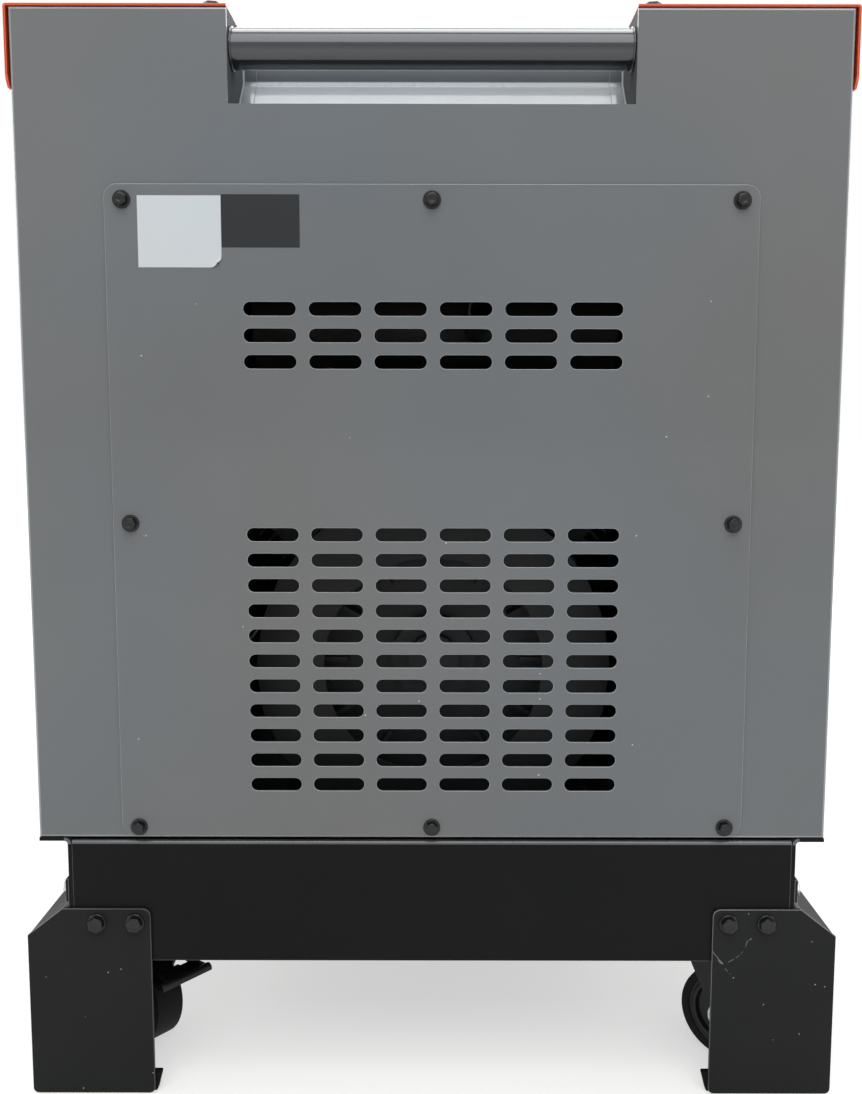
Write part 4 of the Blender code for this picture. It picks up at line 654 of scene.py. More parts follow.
bolt_pattern = flanged_bolt("bolt_pattern", 0.0072, 0.0086, 0.0066, 0.0016)
end_face = -base_low.y
stand_low, stand_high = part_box("rear_right_stand")
stand_out = stand_high.x
stand_in = stand_low.x
shoulder = 0.150
stand_top = 0.175
chamfer = 0.032
stand_depth = 0.150
foot_width = 0.018  # turned in along the floor
face_bolt_z = 0.162
face_bolt_insets = (0.059, 0.025)  # from the rail's face
rail_bolt_z = 0.188
rail_bolt_inset = 0.018
pad_depth = 0.009
pad_height = 0.018
pad_tilt = 0.0046  # the pad's inner side leans in at the floor
tab_x = rail_x + hair
slope = (stand_top - shoulder) / chamfer
tab_shoulder = shoulder + (stand_out - tab_x - plate) * slope
plate_back = end_face + hair
for end_name, end in (("rear", -1), ("front", 1)):
    for side_name, side in (("left", -1), ("right", 1)):
        corner = f"{end_name}_{side_name}"
        outline = [
            (stand_in, 0.0),
            (stand_out, 0.0),
            (stand_out, shoulder),
            (stand_out - chamfer, stand_top),
            (stand_in, stand_top),
        ]
        face = flat_plate(
            f"{corner}_leg_face", [(side * x, z) for x, z in outline], "Y", end * plate_back, end * plate
        )
        round_corners(face, "Y", 0.007, lambda at: abs(abs(at.x) - stand_in) < 1e-4 and at.z > 0.1)
        round_corners(face, "Y", 0.005, lambda at: at.z < 1e-4)
        guard = folded_sheet(
            f"{corner}_guard",
            [
                (side * (stand_out - foot_width), 0.0),
                (side * stand_out, 0.0),
                (side * stand_out, shoulder),
                (side * (tab_x + plate), tab_shoulder),
                (side * (tab_x + plate), stand_high.z),
            ],
            "Y",
            end * (plate_back + plate - stand_depth),
            end * plate_back,
            plate,
            (side * stand_in, 0.05),
            bend=0.0035,
        )
        for sheet in (face, guard):
            painted(sheet, stand_black, stand_rim)
            soften(sheet, 0.0005, rim_wear_and_highlight=True)
        leg = joined(f"{corner}_leg", [face, guard])
        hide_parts(f"{corner}_stand")
        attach(leg, "machine")

        screws = []  # each hex has come to rest at its own turn
        for number, inset in enumerate(face_bolt_insets):
            seat = (side * (rail_x - inset), end * (plate_back + plate), face_bolt_z)
            screws.append(copy_of(bolt_pattern, seat, (0, end, 0), 0.35 + 0.8 * number + side))
        bolts = joined(f"{corner}_leg_bolts", screws)
        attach(bolts, "machine")

        plated = []
        for inset in (rail_bolt_inset, stand_depth - rail_bolt_inset):
            seat = Vector((side * (tab_x + plate), end * (plate_back + plate - inset), rail_bolt_z))
            screw = copy_of(bolt_pattern, seat, (side, 0, 0), inset * 20)
            low_head = Matrix.Scale(0.72, 4, Vector((1, 0, 0)))
            screw.data.transform(Matrix.Translation(seat) @ low_head @ Matrix.Translation(-seat))
            plated.append(screw)
        rail_bolts = joined(f"{corner}_rail_bolts", plated)
        painted(rail_bolts, zinc)
        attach(rail_bolts, "machine")

        pad_low = (side * (stand_in - 0.0056), end * (plate_back - pad_depth), 0.0)
        pad_high = (side * (stand_in + 0.016), end * (plate_back - hair), pad_height)
        pad = block_between(pad_low, pad_high)
        pad.name = f"{corner}_leg_pad"
        bpy.ops.object.mode_set(mode="EDIT")
        pick(pad, "EDGE", lambda e: all(v.co.z < 0.001 and abs(v.co.x) < stand_in for v in e.verts))
        bpy.ops.transform.translate(value=(side * pad_tilt, 0, 0))
        bpy.ops.object.mode_set(mode="OBJECT")
        painted(pad, pad_rubber)
        soften(pad, 0.0016, steps=3)
        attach(pad, "machine")

# ---------------------------------------------------------------- casters
# Pressed steel swivel casters, black coated, bolted under the rails. Dull black tyres on plastic hubs,
# zinc plated axle nuts, and on the left pair a foot brake in front of the wheel.
caster_steel = filmed(
    "caster_steel", paint=(0.016, 0.016, 0.017), chip=(0.35, 0.34, 0.32),
    drift=0.20, chips=0.12, peel_depth=0.12, grain=800.0, roughness=0.40,
    metallic=0.15, shine=0.3,
)
tyre = filmed(
    "tyre", paint=(0.0105, 0.0105, 0.0108), chip=(0.10, 0.10, 0.095),
    drift=0.30, chips=0.14, peel_depth=0.15, grain=600.0, roughness=0.62,
    shine=0.15,
)
hub_plastic = filmed(
    "hub_plastic", paint=(0.014, 0.014, 0.015), chip=(0.10, 0.10, 0.10),
    drift=0.15, chips=0.04, peel_depth=0.10, grain=900.0, roughness=0.42,
    shine=0.3,
)


def rimmed_copy(cad_name, name, width, steps=2, merge=0.00002):
    """A copy of a CAD piece, welded, with its coplanar triangles merged and its rims broken."""
    fresh = bpy.data.objects.new(name, nodes[cad_name].data.copy())
    scene.collection.objects.link(fresh)
    only(fresh)
    bpy.ops.object.mode_set(mode="EDIT")
    bpy.ops.mesh.select_all(action="SELECT")
    bpy.ops.mesh.remove_doubles(threshold=merge)
    bpy.ops.mesh.dissolve_limited(angle_limit=math.radians(1.0))
    bpy.ops.object.mode_set(mode="OBJECT")
    fresh.data.materials.clear()
    if fresh.data.has_custom_normals:
        bpy.ops.mesh.customdata_custom_splitnormals_clear()
    soften(fresh, width, steps, angle=32.0)
    return fresh


wheel_radius = 0.045
wheel_width = 0.030
hub_radius = 0.0375
leg_outside = wheel_width / 2 + 0.0018 + plate
wheel_rings = (  # each ring inwards from the tread: its width, and how far it stands out
    (0.0045, 0.0),
    (0.0025, 0.0),
    (0.0012, -0.0022),
    (0.0022, 0.0),
    (0.0010, 0.0018),
    (0.0030, 0.0),
    (0.0016, -0.0050),
    (0.0120, -0.0006),
    (0.0010, 0.0060),
)
joints = {joint["name"]: joint for joint in frame["joints"]}
for corner in ("rear_left", "rear_right", "front_left", "front_right"):
    spin = joints[f"{corner}_wheel_spin"]
    axle = Vector(spin["axis"]).normalized()
    hub_at = Vector(spin["pos_m"])

    top_plate = rimmed_copy(f"{corner}_caster_plate", f"{corner}_top_plate", 0.0006)
    painted(top_plate, caster_steel)
    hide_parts(f"{corner}_caster_plate")
    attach(top_plate, "machine")

    fork = rimmed_copy(f"{corner}_caster_fork", f"{corner}_fork_pressing", 0.0005)
    painted(fork, caster_steel)
    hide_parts(f"{corner}_caster_fork")
    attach(fork, f"{corner}_fork")

    bpy.ops.object.select_all(action="DESELECT")
    bpy.ops.mesh.primitive_cylinder_add(vertices=56, radius=wheel_radius, depth=wheel_width)
    wheel = bpy.context.object
    wheel.name = f"{corner}_wheel_tyre"
    bpy.ops.object.mode_set(mode="EDIT")
    pick(wheel, "FACE", lambda f: abs(f.normal.z) > 0.9)
    for ring, rise in wheel_rings:
        bpy.ops.mesh.inset(thickness=ring, depth=rise, use_individual=True)
    bpy.ops.object.mode_set(mode="OBJECT")
    for polygon in wheel.data.polygons:
        on_tyre = polygon.center.xy.length > hub_radius or abs(polygon.normal.z) < 0.1
        polygon.material_index = 0 if on_tyre else 1
    wheel.data.materials.append(tyre)
    wheel.data.materials.append(hub_plastic)
    soften(wheel, 0.0009, steps=3, angle=50.0)
    wheel.data.transform(Matrix.Translation(hub_at) @ axle.to_track_quat("Z", "Y").to_matrix().to_4x4())
    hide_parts(f"{corner}_caster_wheel")
    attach(wheel, f"{corner}_wheel")

    axle_nuts = []  # half as big again as the leg bolts
    for way in (-1, 1):
        nut = copy_of(bolt_pattern, hub_at + axle * way * leg_outside, axle * way, 0.4)
        nut.data.transform(
            Matrix.Translation(hub_at)
            @ Matrix.Scale(1.2, 4, axle)
            @ Matrix.Scale(1.55, 4, Vector((0, 0, 1)))
            @ Matrix.Scale(1.55, 4, axle.cross(Vector((0, 0, 1))))
            @ Matrix.Translation(-hub_at)
        )
        axle_nuts.append(nut)
    zinc_nuts = joined(f"{corner}_axle_nuts", axle_nuts)
    painted(zinc_nuts, zinc)
    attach(zinc_nuts, f"{corner}_fork")

edge_radius = 0.0037  # the rolled front edge of a pedal
edge_reach = 0.0403  # from the pedal's pivot
edge_height = 0.0862
pedal_width = 0.058
for corner in ("rear_left", "front_left"):
    press = joints[f"{corner}_brake_pedal_press"]
    across = Vector(press["axis"]).normalized()
    corners = [vertex.co for vertex in nodes[f"{corner}_brake_pedal"].data.vertices]
    toe = sum(corners, Vector()) / len(corners)
    pivot = Vector(press["pos_m"])
    outwards = (toe - pivot) - (toe - pivot).project(across)
    outwards.z = 0.0
    outwards.normalize()
    bpy.ops.object.select_all(action="DESELECT")
    bpy.ops.mesh.primitive_cylinder_add(vertices=28, radius=edge_radius, depth=pedal_width)
    edge = bpy.context.object
    bpy.ops.object.transform_apply()
    edge_at = pivot + outwards * edge_reach
    edge_at.z = edge_height
    edge.data.transform(Matrix.Translation(edge_at) @ across.to_track_quat("Z", "Y").to_matrix().to_4x4())
    rolled = edge.modifiers.new("rims", "BEVEL")
    rolled.width = 0.0012
    rolled.segments = 3
    rolled.limit_method = "ANGLE"
    apply_all(edge)
    creased(edge, 40)
    lever = rimmed_copy(f"{corner}_brake_pedal", "lever", 0.0013, steps=3)
    pedal = joined(f"{corner}_brake_lever", [lever, edge])
    painted(pedal, caster_steel)
    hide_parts(f"{corner}_brake_pedal")
    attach(pedal, f"{corner}_pedal")

# ---------------------------------------------------------------- engine and alternator
# An air-cooled V-twin on a welded cradle, with the blower and its fan behind it and the alternator in
# front. Cast aluminium, black pressed steel and heat-tinted exhaust steel, all with an oily film. The fan,
# crankshaft and rotor are painted near black, a painted shade for the dark inside seen through the slots.
cast_metal = filmed(
    "cast_metal", paint=(0.15, 0.15, 0.148), chip=(0.05, 0.05, 0.05),
    drift=0.22, chips=0.05, peel_depth=0.45, grain=420.0, roughness=0.48,
    metallic=0.75,
)
# Painted shade: a near-black metal, so the fan reads dark through the slots.
fan_shaded_dark = filmed(
    "fan_shaded_dark", paint=(0.035, 0.035, 0.037), chip=(0.12, 0.12, 0.12),
    drift=0.25, chips=0.05, peel_depth=0.30, grain=420.0, roughness=0.50,
    metallic=0.4,
)
pressed_black = filmed(
    "pressed_black", paint=(0.012, 0.012, 0.013), chip=(0.25, 0.25, 0.24),
    drift=0.20, chips=0.08, peel_depth=0.12, grain=700.0, roughness=0.45,
)
exhaust_metal = filmed(
    "exhaust_metal", paint=(0.115, 0.106, 0.098), chip=(0.10, 0.04, 0.02),
    drift=0.35, chips=0.14, peel_depth=0.30, grain=300.0, roughness=0.55,
    metallic=0.8,
)
case_plastic = filmed(
    "case_plastic", paint=(0.016, 0.016, 0.018), chip=(0.08, 0.08, 0.08),
    drift=0.12, chips=0.04, peel_depth=0.15, grain=900.0, roughness=0.48,
)
tank_plastic = filmed(
    "tank_plastic", paint=(0.018, 0.018, 0.019), chip=(0.09, 0.09, 0.09),
    drift=0.12, chips=0.03, peel_depth=0.35, grain=260.0, roughness=0.52,
)
for cad_name, name, width, finish, slot_name in (
    ("engine_cradle", "cradle_frame", 0.0015, pressed_black, "base_black"),
    ("crankcase", "crankcase_casting", 0.0022, cast_metal, "cast_aluminium"),
    ("left_cylinder", "left_finned_cylinder", 0.0007, cast_metal, "cast_aluminium"),
    ("right_cylinder", "right_finned_cylinder", 0.0007, cast_metal, "cast_aluminium"),
    ("blower_housing", "blower_shroud", 0.0005, pressed_black, "base_black"),
    ("alternator_housing", "alternator_frame", 0.0016, cast_metal, "cast_aluminium"),
    ("muffler", "muffler_drum", 0.0006, exhaust_metal, "exhaust_steel"),
    ("air_cleaner", "air_cleaner_can", 0.0020, case_plastic, "black_plastic"),
    ("battery", "battery_box", 0.0025, case_plastic, "battery_case"),
    ("fuel_tank", "fuel_tank_moulding", 0.0011, tank_plastic, "tank_plastic"),
):
    inner_piece = rimmed_copy(cad_name, name, width)
    painted(inner_piece, finish)
    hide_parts(cad_name)
    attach(inner_piece, "machine")
# painted shade: the crankshaft, rotor and fan take the near-black fan paint
for cad_name, finish in (
    ("crankshaft", fan_shaded_dark),
    ("alternator_rotor", fan_shaded_dark),
    ("flywheel_fan", fan_shaded_dark),
    ("base_floor", pressed_black),
):
    nodes[cad_name].data.materials.clear()
    nodes[cad_name].data.materials.append(finish)

# ---------------------------------------------------------------- end walls
# 2 mm sheet wrapped round both corners and turned in at the top and bottom, in semi-gloss grey
# enamel. A notch at the top clears the handle; the rear wall carries the ventilated cover.
grey_enamel = filmed(
    "grey_enamel", paint=(0.161, 0.165, 0.169), chip=(0.60, 0.61, 0.58),
    drift=0.055, chips=0.06, peel_depth=0.035, grain=620.0, roughness=0.42,
    coat=0.5, shine=0.2,
)
# Painted highlight: the rims and bends of the grey sheet take a lighter, glossier grey for the light they
# catch.
grey_rim_highlight = filmed(
    "grey_rim_highlight", paint=(0.27, 0.285, 0.30), chip=(0.70, 0.70, 0.68),
    drift=0.15, chips=0.08, peel_depth=0.03, grain=620.0, roughness=0.24,
    coat=1.0,
)
sheet_gauge = 0.002
wall_low, wall_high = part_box("rear_end_panel")
pocket_low, pocket_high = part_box("rear_handle_pocket")
body_half = wall_high.x
body_end = -wall_low.y
body_bottom = wall_low.z
body_top = wall_high.z
wrap = wall_high.y - wall_low.y
notch_half = pocket_high.x - sheet_gauge
notch_depth = 0.0774
cover_low, cover_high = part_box("rear_access_panel")
recess_low, recess_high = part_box("control_panel")
cover_lap_x, cover_lap_z = 0.035, 0.024  # the cover over the wall's window

slot_length, slot_height, slot_radius = 0.0445, 0.0115, 0.0057
slot_pitch_x, slot_pitch_z = 0.0554, 0.0222
first_slot_x = -0.1374
upper_slots_z = body_top - 0.2453
lower_slots_z = body_top - 0.4373
front_slots_z = body_top - 0.480


def slot_saw(columns, rows, top, end):
    """A rank of round-ended slot cutters through an end wall."""
    saw = block((first_slot_x, end * body_end, top), (slot_length, 0.024, slot_height))
    round_corners(saw, "Y", slot_radius, lambda at: True, steps=8)
    for count, step in ((columns, (slot_pitch_x, 0, 0)), (rows, (0, 0, -slot_pitch_z))):
        rank = saw.modifiers.new("rank", "ARRAY")
        rank.count = count
        rank.use_relative_offset = False
        rank.use_constant_offset = True
        rank.constant_offset_displace = step
    apply_all(saw)
    return saw


for end_name, end in (("rear", -1), ("front", 1)):
    wall = block(
        (0, end * (body_end - wrap / 2), (body_bottom + body_top) / 2),
        (2 * body_half, wrap, body_top - body_bottom),
    )
    wall.name = f"{end_name}_end_wall"
    bpy.ops.object.mode_set(mode="EDIT")
    pick(wall, "FACE", lambda f: f.normal.y * end < -0.9)
    bpy.ops.mesh.delete(type="FACE")
    bpy.ops.object.mode_set(mode="OBJECT")
    painted(wall, grey_enamel, grey_rim_highlight)
    bpy.ops.object.mode_set(mode="EDIT")
    pick(wall, "EDGE", lambda e: all(abs(v.co.y - end * body_end) < 1e-5 for v in e.verts))
    bpy.ops.mesh.bevel(offset=0.0024, segments=4, affect="EDGES", material=1)
    bpy.ops.object.mode_set(mode="OBJECT")
    thick = wall.modifiers.new("gauge", "SOLIDIFY")
    thick.thickness = sheet_gauge
    thick.offset = -1.0
    thick.use_even_offset = True
    apply_all(wall)
    cut_out(
        wall,
        (-notch_half, end * (body_end - 0.06), body_top - notch_depth),
        (notch_half, end * (body_end + 0.01), body_top + 0.01),
    )
    cut_out(
        wall,
        (-notch_half - 0.0023, end * (body_end - 0.06), body_top - 2 * sheet_gauge),
        (notch_half + 0.0023, end * (body_end - sheet_gauge), body_top + 0.01),
    )
    if end_name == "rear":
        cut_out(
            wall,
            (cover_low.x + cover_lap_x, end * (body_end - 0.01), cover_low.z + cover_lap_z),
            (cover_high.x - cover_lap_x, end * (body_end + 0.01), cover_high.z - cover_lap_z),
        )
    else:
        cut_out(
            wall,
            (recess_low.x + sheet_gauge, body_end - 0.01, recess_low.z + sheet_gauge),
            (recess_high.x - sheet_gauge, body_end + 0.01, recess_high.z - sheet_gauge),
        )
        cut_with(wall, slot_saw(6, 6, front_slots_z, end))
    painted(wall, grey_enamel, grey_rim_highlight)
    soften(wall, 0.0007, rim_wear_and_highlight=True)
    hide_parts(f"{end_name}_end_panel")
    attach(wall, "machine")

# ---------------------------------------------------------------- ventilated cover
# The removable sheet in the middle of the rear wall: two ranks of pressed slots, rounded corners and
# eight black flanged bolts. Two foil labels stand blank at its upper left corner.
cover_back = body_end + hair
cover_face = cover_back + sheet_gauge
cover = block(
    (0, -(cover_back + cover_face) / 2, (cover_low.z + cover_high.z) / 2),
    (cover_high.x - cover_low.x, sheet_gauge, cover_high.z - cover_low.z),
)
cover.name = "ventilated_cover"
round_corners(cover, "Y", 0.011, lambda at: True, steps=8)
cut_with(cover, slot_saw(6, 3, upper_slots_z, -1))
cut_with(cover, slot_saw(6, 11, lower_slots_z, -1))
painted(cover, grey_enamel, grey_rim_highlight)
soften(cover, 0.0005, rim_wear_and_highlight=True)
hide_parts("rear_access_panel")
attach(cover, "machine")

cover_bolt = flanged_bolt("cover_bolt", 0.0056, 0.0075, 0.0066, 0.0015)
bolt_x = cover_high.x - 0.0152
cover_bolts = []
bolt_rows = (cover_high.z - 0.0130, cover_high.z - 0.2850, cover_low.z + 0.0083)
for row, z in enumerate(bolt_rows):
    for column, x in enumerate((-bolt_x, 0.0, bolt_x)):
        if not (row == 1 and column == 1):
            cover_bolts.append(copy_of(cover_bolt, (x, -cover_face, z), (0, -1, 0), 0.5 * row + 0.9 * column))
bpy.data.objects.remove(cover_bolt)
cover_fixings = joined("cover_bolts", cover_bolts)
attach(cover_fixings, "machine")

label_silver = filmed(
    "label_silver", paint=(0.68, 0.70, 0.71), chip=(0.80, 0.80, 0.80),
    drift=0.03, chips=0.0, peel_depth=0.02, grain=300.0, roughness=0.30,
)
label_grey = filmed(
    "label_grey", paint=(0.030, 0.030, 0.031), chip=(0.10, 0.10, 0.10),
    drift=0.05, chips=0.0, peel_depth=0.02, grain=300.0, roughness=0.28,
    shine=0.2,
)
for name, left, right, bottom, top, finish, peel_reach in (
    ("rating_label", -0.2470, -0.1770, 0.7378, 0.7968, label_silver, 0.010),
    ("address_label", -0.1767, -0.1110, 0.7543, 0.7978, label_grey, 0.0),
):
    bpy.ops.object.select_all(action="DESELECT")
    bpy.ops.mesh.primitive_grid_add(x_subdivisions=40, y_subdivisions=40, size=1.0)
    label = bpy.context.object
    label.name = name
    label.scale = (right - left, top - bottom, 1.0)
    bpy.ops.object.transform_apply()
    label.data.transform(
        Matrix.Translation(((left + right) / 2, -cover_face - 0.00012, (bottom + top) / 2))
        @ Matrix.Rotation(math.pi / 2, 4, "X")
    )
    for vertex in label.data.vertices:
        lift = peel_reach - (right - vertex.co.x) - (vertex.co.z - bottom)
        if lift > 0.00001:  # the loose corner curls up, inwards and off the sheet
            vertex.co += Vector((-0.35, -0.36, 0.35)) * (lift * lift / peel_reach)
    foil = label.modifiers.new("foil", "SOLIDIFY")
    foil.thickness = 0.00018
    foil.offset = 0.0
    apply_all(label)
    painted(label, finish)
    creased(label, 40)
    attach(label, "machine")

# ---------------------------------------------------------------- carrying handles
# A one-inch pipe welded across a folded tray in each end. The tray has a floor, a sloped wall and an
# upright back, and its two cheeks are turned over the slope and sealed with a pale bead.
# Painted shade: the pipe is painted near black, far darker than the body, for the dark reflection along its
# middle.
tube_shaded_grey = filmed(
    "tube_shaded_grey", paint=(0.016, 0.018, 0.024), chip=(0.45, 0.45, 0.44),
    drift=0.06, chips=0.04, peel_depth=0.03, grain=500.0, roughness=0.20,
    coat=1.0, shine=0.25,
)
tray_enamel = filmed(
    "tray_enamel", paint=(0.132, 0.141, 0.152), chip=(0.60, 0.61, 0.58),
    drift=0.06, chips=0.06, peel_depth=0.60, grain=45.0, roughness=0.36,
    coat=1.0, shine=0.2,
)
# Painted light: the upward-sloping faces of each tray take a much lighter grey than the rest of the tray.
slope_painted_light = filmed(
    "slope_painted_light", paint=(0.300, 0.315, 0.330), chip=(0.60, 0.61, 0.58),
    drift=0.08, chips=0.06, peel_depth=0.90, grain=60.0, roughness=0.30,
    coat=0.6, shine=0.5,
)
cheek_paint = filmed(
    "cheek_paint", paint=(0.135, 0.137, 0.138), chip=(0.40, 0.40, 0.38),
    drift=0.10, chips=0.06, peel_depth=0.05, grain=500.0, roughness=0.60,
    shine=0.05,
)
sealant = filmed(
    "sealant", paint=(0.42, 0.44, 0.46), chip=(0.50, 0.50, 0.50),
    drift=0.10, chips=0.0, peel_depth=0.20, grain=250.0, roughness=0.40,
)
tray_floor = pocket_low.z + sheet_gauge
tray_back = sheet_gauge - pocket_high.y
tray_knee = body_end - 0.034  # the floor turns up into the slope here
tray_bend = body_top - 0.041  # and the slope into the upright back
tray_front = body_end - sheet_gauge - hair
tube_radius = 0.01685
tube_y = body_end - 0.022
tube_z = body_top - 0.0273
lap_width = 0.0125
lap_gauge = 0.0010
bead_radius = 0.0011
weld_radius = 0.0013
for end_name, end in (("rear", -1), ("front", 1)):
    tray = folded_sheet(
        f"{end_name}_tray",
        [
            (end * tray_front, tray_floor),
            (end * tray_knee, tray_floor),
            (end * tray_back, tray_bend),
            (end * tray_back, body_top),
        ],
        "X",
        -notch_half,
        notch_half,
        sheet_gauge,
        (end * tray_front, tray_floor - 0.05),
        bend=0.003,
    )
    parts = [tray]
    for side in (-1, 1):
        cheek = [
            (end * tray_front, tray_floor - sheet_gauge),
            (end * (tray_knee - 0.001), tray_floor - sheet_gauge),
            (end * (tray_back - sheet_gauge), tray_bend - 0.001),
            (end * (tray_back - sheet_gauge), body_top),
            (end * tray_front, body_top),
        ]
        parts.append(flat_plate(f"{end_name}_cheek", cheek, "X", side * notch_half, side * sheet_gauge))
        lap = folded_sheet(
            f"{end_name}_lap",
            [
                (end * (tray_knee + 0.001), tray_floor + 0.0011),
                (end * (tray_back + 0.0011), tray_bend),
                (end * (tray_back + 0.0011), body_top - 0.001),
            ],
            "X",
            side * (notch_half - lap_width),
            side * notch_half,
            lap_gauge,
            (end * tray_back, tray_floor - 0.05),
            bend=0.0025,
        )
        parts.append(lap)
    for part in parts:
        if "cheek" in part.name:
            painted(part, cheek_paint, grey_rim_highlight)
        else:
            # faces that slope upwards get the lighter paint, a painted highlight
            for lit_slope_face in part.data.polygons:
                if 0.4 < lit_slope_face.normal.z < 0.95 and lit_slope_face.material_index == 0:
                    lit_slope_face.material_index = 2
            painted(part, tray_enamel, grey_rim_highlight, slope_painted_light)
        soften(part, 0.0003, rim_wear_and_highlight=True)
    pocket = joined(f"{end_name}_handle_tray", parts)
    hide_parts(f"{end_name}_handle_pocket")
    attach(pocket, "machine")

    beads = []
    for side in (-1, 1):
        route = [
            (end * (tray_knee + 0.014), tray_floor + 0.0006),
            (end * (tray_knee + 0.002), tray_floor + 0.0018),
            (end * (tray_back + 0.0022), tray_bend),
            (end * (tray_back + 0.0022), body_top - 0.006),
        ]
        bpy.ops.object.select_all(action="DESELECT")
        bpy.ops.curve.primitive_bezier_curve_add()
        bead = bpy.context.object
        bead.data.splines.clear()
        spline = bead.data.splines.new("POLY")
        spline.points.add(len(route) - 1)
        for point, (y, z) in zip(spline.points, route):
            point.co = (side * (notch_half - 0.0008), y, z, 1.0)
        bead.data.bevel_depth = bead_radius
        bead.data.bevel_resolution = 3
        bead.data.use_fill_caps = True
        bead.matrix_world = Matrix.Identity(4)
        bpy.ops.object.convert(target="MESH")
        bead.data.shade_smooth()
        beads.append(bead)
    seal = joined(f"{end_name}_handle_sealant", beads)
    painted(seal, sealant)
    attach(seal, "machine")

    bpy.ops.object.select_all(action="DESELECT")
    bpy.ops.mesh.primitive_cylinder_add(
        vertices=72, radius=tube_radius, depth=2 * (notch_half - hair), end_fill_type="NOTHING"
    )
    tube = bpy.context.object
    tube.name = f"{end_name}_handle_pipe"
    pipe_wall = tube.modifiers.new("wall", "SOLIDIFY")
    pipe_wall.thickness = 0.003
    pipe_wall.offset = -1.0
    apply_all(tube)
    bpy.ops.object.select_all(action="DESELECT")
    parts = [tube]
    for side in (-1, 1):
        bpy.ops.mesh.primitive_torus_add(
            major_segments=72,
            minor_segments=10,
            major_radius=tube_radius,
            minor_radius=weld_radius,
            location=(0, 0, side * (notch_half - 0.0012)),
        )
        weld = bpy.context.object
        bpy.ops.object.transform_apply()
        parts.append(weld)
    pipe = joined(f"{end_name}_handle_pipe", parts)
    painted(pipe, tube_shaded_grey)
    pipe.data.transform(
        Matrix.Translation((0, end * tube_y, tube_z)) @ Matrix.Rotation(math.pi / 2, 4, "Y")
    )
    creased(pipe, 40)
    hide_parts(f"{end_name}_handle_tube")
    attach(pipe, "machine")

# ---------------------------------------------------------------- side walls and service doors
# Flat sides with a collared opening each. The door is a pressed tray with two ranks of louvres, hung
# on two lift-off hinges at its front edge and locked by a black quarter-turn handle.
latch_plastic = filmed(
    "latch_plastic", paint=(0.014, 0.014, 0.015), chip=(0.08, 0.08, 0.08),
    drift=0.10, chips=0.03, peel_depth=0.20, grain=1200.0, roughness=0.46,
)
door_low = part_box("right_door")[0]
louvre_size = (0.0043, 0.079, 0.0125)  # how far it stands out, half its length, and its height
louvre_pitch = 0.026
louvre_y = 0.100  # a rank each side of the door's middle
top_louvre = 0.251  # above the door opening's lower edge
for side_name, side in (("left", -1), ("right", 1)):
    wall = rimmed_copy(f"{side_name}_side_panel", f"{side_name}_side_wall", 0.0003)
    painted(wall, grey_enamel)
    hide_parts(f"{side_name}_side_panel")
    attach(wall, "machine")

    leaf = rimmed_copy(f"{side_name}_door", f"{side_name}_door_tray", 0.0004)
    painted(leaf, grey_enamel)
    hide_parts(f"{side_name}_door")
    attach(leaf, f"{side_name}_door")

    opening_low = door_low.z - 0.0025
    bpy.ops.object.select_all(action="DESELECT")
    bpy.ops.mesh.primitive_uv_sphere_add(segments=40, ring_count=20, radius=1.0)
    hoodlet = bpy.context.object
    hoodlet.scale = louvre_size
    bpy.ops.object.transform_apply()
    bpy.ops.object.mode_set(mode="EDIT")
    bpy.ops.mesh.select_all(action="SELECT")
    bpy.ops.mesh.bisect(plane_co=(0.0002, 0, 0), plane_no=(1, 0, 0), clear_inner=True)
    bpy.ops.mesh.select_all(action="SELECT")
    bpy.ops.mesh.bisect(plane_co=(0, 0, 0), plane_no=(0, 0, 1), clear_inner=True)
    bpy.ops.object.mode_set(mode="OBJECT")
    lip = hoodlet.modifiers.new("gauge", "SOLIDIFY")
    lip.thickness = 0.0009
    lip.offset = -1.0
    apply_all(hoodlet)
    if side < 0:
        hoodlet.data.transform(Matrix.Rotation(math.pi, 4, "Z"))
    louvres = []
    for column in (-1, 1):
        for row in range(6):
            z = opening_low + top_louvre - louvre_pitch * row
            fresh = bpy.data.objects.new("louvre", hoodlet.data.copy())
            scene.collection.objects.link(fresh)
            fresh.data.transform(Matrix.Translation((side * body_half, column * louvre_y, z)))
            louvres.append(fresh)
    bpy.data.objects.remove(hoodlet)
    pressed = joined(f"{side_name}_door_louvres", louvres)
    painted(pressed, grey_enamel)
    creased(pressed, 35)
    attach(pressed, f"{side_name}_door")

    handle = rimmed_copy(f"{side_name}_door_latch", f"{side_name}_latch_handle", 0.0016, steps=3)
    painted(handle, latch_plastic)
    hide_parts(f"{side_name}_door_latch")
    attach(handle, f"{side_name}_latch")

# ---------------------------------------------------------------- hood
# One folded sheet in orange enamel: a flat top, a deep flange down each side and a hem turned in
# against the body, notched over both handles and held by four black bolts.
orange_enamel = filmed(
    "orange_enamel", paint=(0.700, 0.075, 0.020), chip=(0.85, 0.60, 0.50),
    drift=0.04, chips=0.05, peel_depth=0.035, grain=600.0, roughness=0.40,
    coat=0.3, shine=0.15,
)
